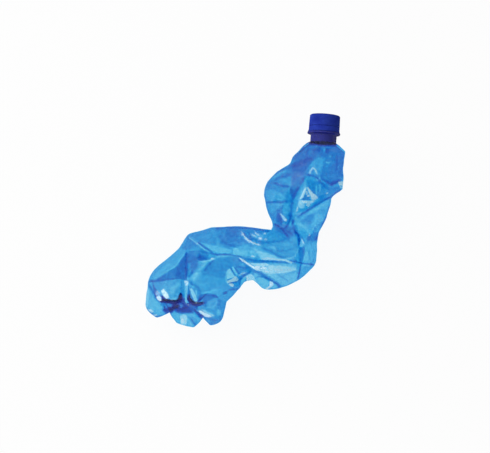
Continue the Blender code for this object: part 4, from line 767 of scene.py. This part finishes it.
def split_quads(piece, held):
    """Cuts each four-sided face so that a line running through it keeps its edge."""
    mesh = bmesh.new()
    mesh.from_mesh(piece.data)
    mesh.verts.ensure_lookup_table()
    cut = []
    for face in mesh.faces:
        if len(face.verts) != 4:
            continue
        on = [held[v.index] for v in face.verts]
        if (on[0] and on[2]) != (on[1] and on[3]):
            cut.append((face, 0 if on[0] and on[2] else 1))
    for face, first in cut:
        corners = face.verts[:]
        bmesh.utils.face_split(face, corners[first], corners[first + 2])
    mesh.to_mesh(piece.data)
    mesh.free()


def wander(line, seed):
    """A line of points with steps of LINE_STEP or less, straying as a real crease does."""
    found = []
    for p, q in zip(np.array(line[:-1], float), np.array(line[1:], float)):
        steps = max(1, math.ceil(np.linalg.norm(q - p) / LINE_STEP))
        found += [p + (q - p) * i / steps for i in range(steps)]
    found.append(np.array(line[-1], float))
    strays = [noise.noise_vector(Vector((u, v, seed)) / WANDER_SIZE).xy for u, v in found]
    return np.array(found) + np.array(strays) * LINE_WANDER


def wandering(lines):
    return [(*line[:-1], wander(line[-1], WANDER_SEED * i)) for i, line in enumerate(lines.values())]


def line_effects(places, lines):
    """What lines do at each place: how far they move the wall, whiten it and thin its tint for painted
    highlights and crazing, and darken it for doubled wall and painted crease shade.
    """
    lift, white, highlight_thinning, dark = (np.zeros(len(places)) for _ in range(4))
    uneven = np.array([noise.noise(Vector((u, v, 0)) / LINE_TAPER) for u, v in places])
    for rise, reach, tone, width, line in lines:
        gap, along, length = line_distance(places, line)
        ends = np.minimum(along, length - along) / min(LINE_TAPER, length / 2)
        ends = smooth_step(ends + LINE_END)
        flank = np.clip(1 - gap / reach, 0, 1)
        lift += LINE_RISE * rise * flank ** 2 * ends
        mark = np.clip(MARK_CORE + MARK_UNEVEN * uneven - gap / width, 0, 1) * ends
        if tone > 0:
            white, highlight_thinning = np.maximum(white, tone * mark), np.maximum(highlight_thinning, mark)
        else:
            dark = np.maximum(dark, -tone * mark)
    return lift, white, highlight_thinning, dark


# ---------------------------------------------------------------- the bottle's wall


def outer_skin():
    """The outer skin of the bottle's solid, from its base to the root of its neck."""
    skin = bpy.data.objects.new("skin", frame["nodes"]["bottle"].data.copy())
    bpy.context.scene.collection.objects.link(skin)
    edit(skin, lambda: bpy.ops.mesh.remove_doubles(threshold=MERGE_SKIN))
    heights = along_neck(places_of(skin))
    choose_faces(skin, [heights[face.vertices].max() > NECK_SEAM for face in skin.data.polygons])
    bpy.ops.object.mode_set(mode="EDIT")
    bpy.ops.mesh.delete(type="FACE")
    bpy.ops.mesh.select_all(action="SELECT")
    bpy.ops.mesh.separate(type="LOOSE")
    bpy.ops.object.mode_set(mode="OBJECT")
    parts = bpy.context.selected_objects
    parts = sorted(parts, key=lambda part: np.ptp(places_of(part), axis=0).sum())
    for part in parts[:-1]:
        bpy.data.objects.remove(part)
    return parts[-1]


def crease_weights(piece, soft, hard):
    """Marks each edge with how sharp a fold it is, from the angle between its faces."""
    mesh = bmesh.new()
    mesh.from_mesh(piece.data)
    layer = mesh.edges.layers.float.new("crease_edge")
    for line in mesh.edges:
        if len(line.link_faces) == 2:
            line[layer] = float(smooth_step((line.calc_face_angle(0) - soft) / (hard - soft)))
    mesh.to_mesh(piece.data)
    mesh.free()


def facets(points, size, seed):
    """Small flat facets all over, from 0 in their middles to 1 on the creases between them."""
    shift = Vector((seed, seed, seed))
    found = []
    for point in points:
        gaps = noise.voronoi(Vector(point) / size + shift)[0]
        found.append(gaps[1] - gaps[0])
    return np.clip(np.array(found), 0, 1)


def settled(points):
    """Points moved along the plane as SETTLED says: between two of its places, by their average."""
    flat = layout(points)[:, :2]
    shift, total = np.zeros_like(flat), np.zeros(len(flat))
    for place, move in SETTLED:
        pull = np.exp(-((flat - place) ** 2).sum(axis=1) / (2 * SETTLE_REACH ** 2))
        shift += pull[:, None] * move
        total += pull
    shift /= np.maximum(total, 1)[:, None]
    up = np.array([0, math.cos(LEAN), math.sin(LEAN)])
    return points + (shift[:, :1] * (1, 0, 0) + shift[:, 1:] * up) * MM


def refine_crisp(skin):
    """Splits the front faces near narrow lines and crisp panel edges."""
    faces = skin.data.polygons
    centres, ways = np.empty(len(faces) * 3), np.empty(len(faces) * 3)
    faces.foreach_get("center", centres)
    faces.foreach_get("normal", ways)
    flat = layout(centres.reshape(-1, 3))[:, :2]
    gap = np.full(len(faces), np.inf)
    for _, _, fade, corners in FRONT_PANELS.values():
        if fade <= CRISP:
            gap = np.minimum(gap, line_distance(flat, corners + corners[:1])[0])
    for *_, width, line in FRONT_LINES.values():
        if width <= CRISP:
            gap = np.minimum(gap, line_distance(flat, line)[0])
    choose_faces(skin, (gap < CRISP_REACH) & (ways.reshape(-1, 3) @ FRONT > EDGE_ON))
    bpy.ops.object.mode_set(mode="EDIT")
    bpy.ops.mesh.subdivide(number_cuts=1)
    bpy.ops.object.mode_set(mode="OBJECT")


def wall_and_painted_tone(points, facing):
    """How thick the wall is at each point, in metres, also read as its tint, which paints shade and light
    in places, and how much of it is painted white: painted highlights and some crazing.
    """
    flat = layout(points)[:, :2]
    front = smooth_step((facing + WALL_TURN) / TURN)
    wall, white = np.full(len(points), FRONT_WALL), np.zeros(len(points))
    for thick, crazed, fade, corners in FRONT_PANELS.values():
        share = inside_share(flat, corners, fade)
        wall += (thick * MM - wall) * share
        white = np.maximum(white * (1 - share), crazed * share)
    wall = BACK_WALL + (wall - BACK_WALL) * front
    return wall, white * front


def set_attribute(piece, name, values):
    layer = piece.data.attributes.get(name) or piece.data.attributes.new(name, "FLOAT", "POINT")
    layer.data.foreach_set("value", values)


def set_group(piece, name, values):
    group = piece.vertex_groups.get(name) or piece.vertex_groups.new(name=name)
    for i, value in enumerate(values):
        group.add([i], float(value), "REPLACE")


def make_body():
    """The bottle's outer skin, refined, creased and marked, before it gets its wall."""
    skin = outer_skin()
    edit(skin, lambda: bpy.ops.mesh.tris_convert_to_quads(
        face_threshold=FLAT_PAIR, shape_threshold=SQUARE_PAIR))
    crease_weights(skin, SOFT_FOLD, SHARP_FOLD)
    apply_modifier(skin, "SUBSURF", levels=SKIN_LEVELS, render_levels=SKIN_LEVELS)
    put_places(skin, settled(places_of(skin)))
    refine_crisp(skin)
    points, facing = places_of(skin), normals_of(skin) @ FRONT
    front_lines, back_lines = wandering(FRONT_LINES), wandering(BACK_LINES)
    edges = np.zeros(len(skin.data.edges) * 2, int)
    skin.data.edges.foreach_get("vertices", edges)
    edges = edges.reshape(-1, 2)
    held = snap_to_lines(points, edges, facing > EDGE_ON, [line[-1] for line in front_lines])
    held |= snap_to_lines(points, edges, facing < -EDGE_ON, [line[-1] for line in back_lines])
    put_places(skin, points)
    flat, level = layout(points)[:, :2], along_neck(points)
    front, back = smooth_step((facing + EDGE_ON) / TURN), smooth_step((-facing + EDGE_ON) / TURN)
    lift_f, white_f, highlight_thinning_f, dark_f = line_effects(flat, front_lines)
    lift_b, white_b, highlight_thinning_b, dark_b = line_effects(flat, back_lines)
    away = smooth_step(-level / NECK_CLEAR)
    crumple = facets(points, CRUMPLE_SIZE, CRUMPLE_SEED)
    fine = facets(points, FINE_SIZE, FINE_SEED)
    small = CRUMPLE_RISE * (0.5 - crumple) + FINE_RISE * (0.5 - fine)
    lift = ((lift_f * front - lift_b * back) * away)[:, None] * FRONT * MM
    lift += (small * away)[:, None] * normals_of(skin)
    wall, white = wall_and_painted_tone(points, facing)
    highlight_thinning = HIGHLIGHT_LINE_THINNING * (highlight_thinning_f * front + highlight_thinning_b * back)
    tinted = wall / MM - np.maximum(wall / MM - HIGHLIGHT_LINE_WALL, 0) * highlight_thinning
    tinted += (NECK_TINT - tinted) * smooth_step(1 + level / NECK_EDGE)
    wall += (NECK_WALL - wall) * smooth_step(1 + level / NECK_BLEND)
    points = points + lift
    points[:, 2] = np.maximum(points[:, 2], LEAST_CLEAR)
    put_places(skin, points)
    split_quads(skin, held)
    crazed = np.clip(CRAZE_WIDTH - crumple, 0, 1) / CRAZE_WIDTH * CRAZE
    white = np.maximum(white, white_f * front + white_b * back) + crazed * away
    set_attribute(skin, "white", np.clip(white, 0, MOST_WHITE))
    set_attribute(skin, "wall", tinted + DOUBLED_AND_SHADED_WALL * (dark_f * front + dark_b * back))
    set_group(skin, "thickness", wall / NECK_WALL)
    return skin


def make_bottle():
    body = make_body()
    apply_modifier(
        body, "SOLIDIFY", thickness=NECK_WALL, offset=-1, use_rim=False, use_even_offset=False,
        vertex_group="thickness", thickness_vertex_group=0.0,
    )
    body.name = "blown_bottle"
    finish_neck(body)
    add_thread(body)
    select_only(body)
    bpy.ops.object.shade_smooth_by_angle(angle=SMOOTH_ANGLE)
    return body


# ---------------------------------------------------------------- neck, thread and closure


def choose_edges(piece, chosen):
    """Selects only the edges between chosen points."""
    select_only(piece)
    bpy.context.tool_settings.mesh_select_mode = (False, True, False)
    data = piece.data
    data.polygons.foreach_set("select", [False] * len(data.polygons))
    data.vertices.foreach_set("select", chosen)
    data.edges.foreach_set("select", [bool(chosen[edge.vertices].all()) for edge in data.edges])


def rim_points(piece):
    """Marks the points on the open rims of a piece."""
    mesh = bmesh.new()
    mesh.from_mesh(piece.data)
    rims = np.array([vert.is_boundary for vert in mesh.verts])
    mesh.free()
    return rims


def neck_radius(points):
    """How far points are from the neck's axis."""
    off = np.asarray(points) - np.array(NECK_ROOT)
    return np.linalg.norm(off - (off @ np.array(NECK_WAY))[:, None] * np.array(NECK_WAY), axis=1)


def round_off(points, chosen, radius):
    """Sets chosen points on a true circle round the neck's root."""
    way = np.array(NECK_WAY)
    off = points[chosen] - np.array(NECK_ROOT)
    off -= (off @ way)[:, None] * way
    points[chosen] = np.array(NECK_ROOT) + off / np.linalg.norm(off, axis=1)[:, None] * radius


def pull_up(start, profile):
    """Draws the selected ring up the neck, through each radius and level of a profile."""
    radius, level = start, 0.0
    for next_radius, next_level in profile:
        rise = NECK_WAY * (next_level - level) * MM
        bpy.ops.mesh.extrude_region_move(TRANSFORM_OT_translate={"value": rise})
        middle = NECK_ROOT + NECK_WAY * next_level * MM
        bpy.ops.transform.resize(value=(next_radius / radius,) * 3, center_override=middle)
        radius, level = next_radius, next_level


def finish_neck(bottle):
    """Turns the two open rims at the neck's root into its finish: ring, bead, lip and bore."""
    points, rims = places_of(bottle), rim_points(bottle)
    radii = neck_radius(points)
    middle = (NECK_PROFILE[0][0] + BORE_RADIUS) / 2 * MM
    outer, inner = rims & (radii > middle), rims & (radii <= middle)
    round_off(points, outer, NECK_PROFILE[0][0] * MM)
    round_off(points, inner, BORE_RADIUS * MM)
    put_places(bottle, points)
    for chosen, start, profile in (
        (outer, NECK_PROFILE[0][0], NECK_PROFILE[1:]),
        (inner, BORE_RADIUS, [(BORE_RADIUS, level) for level in BORE_LEVELS]),
    ):
        spare = len(bottle.data.vertices) - len(chosen)
        choose_edges(bottle, np.concatenate([chosen, np.zeros(spare, bool)]))
        bpy.ops.object.mode_set(mode="EDIT")
        pull_up(start, profile)
        bpy.ops.object.mode_set(mode="OBJECT")
    choose_edges(bottle, rim_points(bottle))
    bpy.ops.object.mode_set(mode="EDIT")
    bpy.ops.mesh.bridge_edge_loops()
    bpy.ops.object.mode_set(mode="OBJECT")


def along_frame():
    """Where the neck's root is, with Z along the neck."""
    side = Vector((1, 0, 0)) - NECK_WAY * NECK_WAY.x
    side.normalize()
    turn = Matrix((side, NECK_WAY.cross(side), NECK_WAY)).transposed().to_4x4()
    turn.translation = NECK_ROOT
    return turn


def add_thread(bottle):
    """The screw thread: one raised helix that fades into the neck at both ends."""
    curve = bpy.data.curves.new("thread", "CURVE")
    curve.dimensions = "3D"
    curve.bevel_depth, curve.bevel_resolution = THREAD_DEPTH * MM, 2
    curve.use_fill_caps = True
    low, high, pitch = THREAD_LEVELS
    turns = (high - low) / pitch
    steps = int(turns * THREAD_STEPS)
    line = curve.splines.new("POLY")
    line.points.add(steps)
    neck = along_frame()
    for i in range(steps + 1):
        share = i / steps
        angle = share * turns * math.tau
        ends = float(smooth_step(min(share, 1 - share) / THREAD_FADE))
        radius = (NECK_PROFILE[-2][0] - THREAD_SEAT - THREAD_SINK * (1 - ends)) * MM
        level = (low + share * (high - low)) * MM
        place = Vector((radius * math.cos(angle), radius * math.sin(angle), level))
        line.points[i].co = (*(neck @ place), 1)
        line.points[i].radius = 0.5 + 0.5 * ends
    thread = bpy.data.objects.new("thread", curve)
    bpy.context.scene.collection.objects.link(thread)
    select_only(thread)
    bpy.ops.object.convert(target="MESH")
    thread = bpy.context.object
    set_attribute(thread, "wall", [NECK_TINT] * len(thread.data.vertices))
    set_attribute(thread, "white", [0.0] * len(thread.data.vertices))
    select_only(bottle)
    thread.select_set(True)
    bpy.ops.object.join()


def turned(name, profile, steps):
    """A closed ring or cup turned round the neck's axis from its outline (radius, level) in mm."""
    data = bpy.data.meshes.new(name)
    count = len(profile)
    outline = [(radius * MM, 0, level * MM) for radius, level in profile]
    data.from_pydata(outline, [(i, (i + 1) % count) for i in range(count)], [])
    piece = bpy.data.objects.new(name, data)
    bpy.context.scene.collection.objects.link(piece)
    edit(
        piece,
        lambda: bpy.ops.mesh.spin(steps=steps, angle=math.tau, center=(0, 0, 0), axis=(0, 0, 1)),
        lambda: bpy.ops.mesh.select_all(action="SELECT"),
        lambda: bpy.ops.mesh.remove_doubles(threshold=MERGE_TURNED),
        lambda: bpy.ops.mesh.normals_make_consistent(inside=False),
    )
    return piece


def stand_on_neck(piece):
    piece.data.transform(along_frame())
    select_only(piece)
    bpy.ops.object.shade_smooth_by_angle(angle=SMOOTH_ANGLE)


def knurl(piece, low, high, ribs, depth):
    """Presses fine upright grooves into a turned piece's side, between two levels."""
    points = places_of(piece) / MM
    radii = np.hypot(points[:, 0], points[:, 1])
    grooved = (points[:, 2] > low) & (points[:, 2] < high) & (radii > CAP_RADIUS - RIB_BAND)
    angles = np.arctan2(points[:, 1], points[:, 0])
    press = depth * (0.5 - 0.5 * np.cos(ribs * angles)) * grooved
    points[:, :2] *= (1 - press / np.maximum(radii, TINY))[:, None]
    put_places(piece, points * MM)


def make_cap():
    cap = turned("screw_cap", CAP_PROFILE, 2 * CAP_RIBS)
    knurl(cap, RIB_LOW, RIB_HIGH, CAP_RIBS, RIB_DEPTH)
    stand_on_neck(cap)
    return cap


def make_band():
    """The tamper band, with the stubs of its bridges."""
    band = turned("tear_band", BAND_PROFILE, BAND_STEPS)
    radius, level = (CAP_RADIUS - BRIDGE_IN) * MM, (BAND_TOP + BRIDGE_UP) * MM
    for i in range(BRIDGES):
        angle = i * math.tau / BRIDGES
        bpy.ops.object.select_all(action="DESELECT")
        place = (radius * math.cos(angle), radius * math.sin(angle), level)
        bpy.ops.mesh.primitive_cube_add(size=MM, location=place, rotation=(0, 0, angle))
        stub = bpy.context.object
        stub.scale = BRIDGE_SIZE
        bpy.ops.object.transform_apply(location=True, rotation=True, scale=True)
        apply_modifier(stub, "BEVEL", width=BRIDGE_BEVEL, segments=1)
        select_only(band)
        stub.select_set(True)
        bpy.ops.object.join()
    stand_on_neck(band)
    return band


# ---------------------------------------------------------------- materials


def linear(code):
    """An sRGB hex colour as linear values."""
    parts = [int(code[i:i + 2], 16) / 255 for i in (1, 3, 5)]
    return tuple(p / 12.92 if p <= 0.04045 else ((p + 0.055) / 1.055) ** 2.4 for p in parts)


def add_node(tree, kind, inputs=(), output=0, **settings):
    """Adds a shader node, sets its settings, links or sets its inputs, and gives one of its outputs."""
    node = tree.nodes.new("ShaderNode" + kind)
    for name, value in settings.items():
        setattr(node, name, value)
    for name, value in inputs.items() if isinstance(inputs, dict) else enumerate(inputs):
        if isinstance(value, bpy.types.NodeSocket):
            tree.links.new(value, node.inputs[name])
        else:
            node.inputs[name].default_value = value
    return node.outputs[output] if node.outputs else node


def new_material(name):
    material = bpy.data.materials.new(name)
    material.use_nodes = True
    material.node_tree.nodes.clear()
    return material, material.node_tree


# What two sheets of the wall let through, with PET_DEPTH of plastic in all (mm). Past PET_DEEPEST
# it gets no darker, and a ray that slants right along the wall crosses PET_SLANT times as much.
PET_TINT = linear("#1a90d7")
PET_DEPTH, PET_DEEPEST, PET_SLANT = 1.2, 3.7, 1.7
# The size of the unevenly drawn patches and how far they differ.
DRAWN_SIZE, UNEVEN = 3.2 * MM, 0.34
# The size of the flecks in the painted highlights and crazing, how far they differ, and how much light
# they send on through.
FLECK_SIZE, FLECKED = 1.3 * MM, 0.25
HIGHLIGHT_AND_CRAZE_WHITE, HIGHLIGHT_AND_CRAZE_GLOW, HIGHLIGHT_AND_CRAZE_CLEAR = "#e0f3fd", "#f2faff", "#e2f3fd"
GLOW_SHARE, CLEAR_SHARE = 0.12, 0.3
# The plastic turns a solid navy between these thicknesses (mm), up to this share, at the neck and base
# centre and in the painted shadows under the feet.
NAVY, NAVY_FROM, NAVY_FULL, NAVY_SHARE = "#0e1579", 2.2, 3.2, 0.85
# Light that comes back from one face of the wall head on, and from one seen edge on.
PET_MIRROR, PET_EDGE_MIRROR, MIRROR_FALL = 0.022, 0.035, 5.0
# Handling scuffs the gloss in broad patches: their size, and the roughness between and in them.
SCUFF_SIZE, GLOSS, SCUFFED = 100 / 9 * MM, 0.06, 0.2


def clear_blue_pet():
    """Blown PET, tinted blue: clear and glossy, darker where it is thick or seen on edge and where
    shade is painted in as thicker wall, and white where highlights are painted on, crazed in a
    few places where it was folded sharply."""
    material, tree = new_material("blown_blue_pet")
    facing = add_node(tree, "LayerWeight", {"Blend": 0.5}, "Facing")
    place = add_node(tree, "TexCoord", output="Object")
    # Blowing leaves the wall unevenly drawn, and the painted highlights and crazing come in flecks.
    drawn = {"Vector": place, "Scale": 1 / DRAWN_SIZE, "Detail": 5.0, "Roughness": 0.7}
    drawn = add_node(tree, "TexNoise", drawn)
    uneven = add_node(tree, "MapRange", (drawn, 0.25, 0.75, 1 - UNEVEN, 1 + UNEVEN))
    wall = add_node(tree, "Attribute", output="Fac", attribute_name="wall")
    wall = add_node(tree, "Math", (wall, uneven), operation="MULTIPLY")
    flecks = add_node(tree, "TexNoise", {"Vector": place, "Scale": 1 / FLECK_SIZE, "Detail": 2.0})
    flecks = add_node(tree, "MapRange", (flecks, 0.35, 0.62, 1 - FLECKED, 1 + FLECKED))
    white = add_node(tree, "Attribute", output="Fac", attribute_name="white")
    white = add_node(tree, "Math", (white, flecks, HAZE), operation="MULTIPLY_ADD")
    # The painted highlights and crazing count once, on the face where a ray enters the plastic.
    leaving = add_node(tree, "NewGeometry", output="Backfacing")
    entering = add_node(tree, "Math", (1.0, leaving), operation="SUBTRACT")
    white = add_node(tree, "Math", (white, entering), operation="MULTIPLY")
    # A slanted ray crosses more of the wall.
    slant = add_node(tree, "MapRange", (facing, 0.0, 1.0, 1.0, PET_SLANT))
    depth = add_node(tree, "Math", (wall, slant), operation="MULTIPLY")
    depth = add_node(tree, "Math", (depth, PET_DEEPEST), operation="MINIMUM")
    share = add_node(tree, "Math", (depth, 0.5 / PET_DEPTH), operation="MULTIPLY")
    passed = [add_node(tree, "Math", (value, share), operation="POWER") for value in PET_TINT]
    tint = add_node(tree, "CombineColor", passed)
    see = add_node(tree, "BsdfTransparent", {"Color": tint})
    crazed = add_node(tree, "BsdfDiffuse", {"Color": (*linear(HIGHLIGHT_AND_CRAZE_WHITE), 1)})
    glow = add_node(tree, "BsdfTranslucent", {"Color": (*linear(HIGHLIGHT_AND_CRAZE_GLOW), 1)})
    crazed = add_node(tree, "MixShader", (GLOW_SHARE, crazed, glow))
    clear = add_node(tree, "BsdfTransparent", {"Color": (*linear(HIGHLIGHT_AND_CRAZE_CLEAR), 1)})
    crazed = add_node(tree, "MixShader", (CLEAR_SHARE, crazed, clear))
    # Where it is thickest, and in the painted shadows under the feet, the plastic reads as a solid navy.
    deep = add_node(tree, "MapRange", (wall, NAVY_FROM, NAVY_FULL, 0.0, NAVY_SHARE))
    solid = add_node(tree, "BsdfDiffuse", {"Color": (*linear(NAVY), 1)})
    see = add_node(tree, "MixShader", (deep, see, solid))
    body = add_node(tree, "MixShader", (white, see, crazed))
    edge_on = add_node(tree, "Math", (facing, MIRROR_FALL), operation="POWER")
    mirror = (edge_on, PET_EDGE_MIRROR, PET_MIRROR)
    mirror = add_node(tree, "Math", mirror, operation="MULTIPLY_ADD")
    scuffs = add_node(tree, "TexNoise", {"Vector": place, "Scale": 1 / SCUFF_SIZE, "Detail": 3.0})
    rough = add_node(tree, "MapRange", (scuffs, 0.35, 0.7, GLOSS, SCUFFED))
    shine = add_node(tree, "BsdfGlossy", {"Color": (1, 1, 1, 1), "Roughness": rough})
    mixed = add_node(tree, "MixShader", (mirror, body, shine))
    add_node(tree, "OutputMaterial", {"Surface": mixed})
    return material


# The size of the flow mottle in moulded plastic, and how deep its grain is.
FLOW_SIZE, GRAIN_DEPTH = 6.25 * MM, 0.05 * MM


def moulded_plastic(name, dark, light, roughness, grain_mm):
    """Injection-moulded plastic with a faint flow mottle and a satin, lightly scuffed face."""
    material, tree = new_material(name)
    place = add_node(tree, "TexCoord", output="Object")
    flow = add_node(tree, "TexNoise", {"Vector": place, "Scale": 1 / FLOW_SIZE, "Detail": 3.0})
    colour = add_node(tree, "ValToRGB", (flow,))
    for element, position, code in zip(colour.node.color_ramp.elements, (0.35, 0.65), (dark, light)):
        element.position = position
        element.color = (*linear(code), 1)
    grain = {"Vector": place, "Scale": 1 / (grain_mm * MM), "Detail": 2.0}
    grain = add_node(tree, "TexNoise", grain)
    rough = add_node(tree, "MapRange", (grain, 0.3, 0.7, roughness - 0.06, roughness + 0.08))
    relief = add_node(tree, "Bump", {"Height": grain, "Strength": 0.25, "Distance": GRAIN_DEPTH})
    shader = add_node(tree, "BsdfPrincipled", {
        "Base Color": colour, "Roughness": rough, "Normal": relief, "IOR": 1.5,
        "Specular IOR Level": 0.015,
    })
    add_node(tree, "OutputMaterial", {"Surface": shader})
    return material


# ---------------------------------------------------------------- light, floor and camera

# The camera looks square onto the layout's plane at AIM (u, v), from so far that PICTURE_WIDTH
# (m) fills its view at OUTLINE_HEIGHT (mm), where the bottle is widest.
PICTURE_WIDTH, OUTLINE_HEIGHT = 0.490, 40
AIM = (0, -0.5)
LENS, SENSOR = 250, 36
FARTHEST = 20


def to_world(u, v, h):
    y = v * math.cos(LEAN) - h * math.sin(LEAN)
    z = v * math.sin(LEAN) + h * math.cos(LEAN)
    return Vector(np.array([u, y, z]) * MM + LAYOUT_ORIGIN)


def make_camera():
    camera = bpy.data.objects.new("camera", bpy.data.cameras.new("camera"))
    bpy.context.scene.collection.objects.link(camera)
    camera.data.lens = LENS
    camera.data.sensor_width = SENSOR
    far = PICTURE_WIDTH * LENS / SENSOR / MM
    camera.location = to_world(*AIM, OUTLINE_HEIGHT + far)
    camera.rotation_euler = (LEAN, 0, 0)
    camera.data.clip_end = FARTHEST
    bpy.context.scene.camera = camera


# The floor's size (m), its grey for light that falls on it, and how white it is when looked at.
FLOOR_SIZE, FLOOR_GREY, FLOOR_WHITE = 8, 0.6, 0.94


def make_floor():
    bpy.ops.mesh.primitive_plane_add(size=FLOOR_SIZE)
    floor = bpy.context.object
    floor.name = "floor"
    material, tree = new_material("white_sweep")
    path = add_node(tree, "LightPath").node.outputs
    seen = (path["Is Camera Ray"], path["Is Glossy Ray"])
    seen = add_node(tree, "Math", seen, operation="MAXIMUM")
    seen = add_node(tree, "Math", (seen, path["Is Transmission Ray"]), operation="MAXIMUM")
    share = add_node(tree, "Math", (seen, FLOOR_WHITE), operation="MULTIPLY")
    matt = add_node(tree, "BsdfDiffuse", {"Color": (FLOOR_GREY, FLOOR_GREY, FLOOR_GREY, 1)})
    white = add_node(tree, "Emission", {"Color": (1, 1, 1, 1), "Strength": 1.0})
    mixed = add_node(tree, "MixShader", (share, matt, white))
    add_node(tree, "OutputMaterial", {"Surface": mixed})
    floor.data.materials.append(material)


LAMPS = [
    # name, place (m), size (m), power (W)
    ("left", (-1.3, 0.5, 1.2), 1.3, 27),
    ("front", (-0.4, -1.5, 0.9), 0.9, 9),
    ("right", (1.3, 0.3, 1.0), 0.5, 0.2),
]
LIT_POINT = Vector((0, 0, 0.03))
# How bright the room is on the left and on the right, and where it turns from one to the other.
ROOM_LEFT, ROOM_RIGHT = 0.8, 0.45
ROOM_FROM, ROOM_TO = -0.6, 0.9


def make_lamps():
    for name, place, size, power in LAMPS:
        lamp = bpy.data.objects.new(name, bpy.data.lights.new(name, "AREA"))
        bpy.context.scene.collection.objects.link(lamp)
        lamp.data.size = size
        lamp.data.energy = power
        lamp.location = place
        # The lamps stay out of reflections: the highlights are painted on the wall instead.
        lamp.visible_glossy = False
        lamp.rotation_euler = (LIT_POINT - Vector(place)).to_track_quat("-Z", "Y").to_euler()
    world = bpy.data.worlds.new("studio")
    world.use_nodes = True
    tree = world.node_tree
    way = add_node(tree, "TexCoord", output="Generated")
    across = add_node(tree, "SeparateXYZ", (way,), "X")
    level = add_node(tree, "MapRange", (across, ROOM_FROM, ROOM_TO, ROOM_LEFT, ROOM_RIGHT))
    tree.nodes["Background"].inputs[0].default_value = (1, 1, 1, 1)
    tree.links.new(level, tree.nodes["Background"].inputs[1])
    bpy.context.scene.world = world


def dress(piece, material, body, slot_name, *nodes):
    """Gives a finished piece its material and its body, and hides the CAD nodes that it stands for."""
    piece.data.materials.clear()
    piece.data.materials.append(material)
    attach(piece, body)
    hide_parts(*nodes)


def main():
    noise.seed_set(NOISE_SEED)
    navy = moulded_plastic("moulded_navy_polyethylene", "#1c2c86", "#243790", 0.6, 0.9)
    liner = moulded_plastic("soft_pale_liner", "#c9cfdb", "#d9dee8", 0.5, 0.7)
    dress(make_bottle(), clear_blue_pet(), "bottle", "blue_pet", "bottle")
    dress(make_cap(), navy, "cap", "navy_cap_plastic", "cap")
    dress(make_band(), navy, "bottle", "navy_cap_plastic", "tamper_band")
    disc = frame["nodes"]["seal_disc"]
    disc.data.materials.clear()
    disc.data.materials.append(liner)
    make_floor()
    make_lamps()
    make_camera()
    bpy.context.scene.view_settings.view_transform = "Standard"
    # A ray may cross many folded walls.
    bpy.context.scene.cycles.transparent_max_bounces = 32


main()
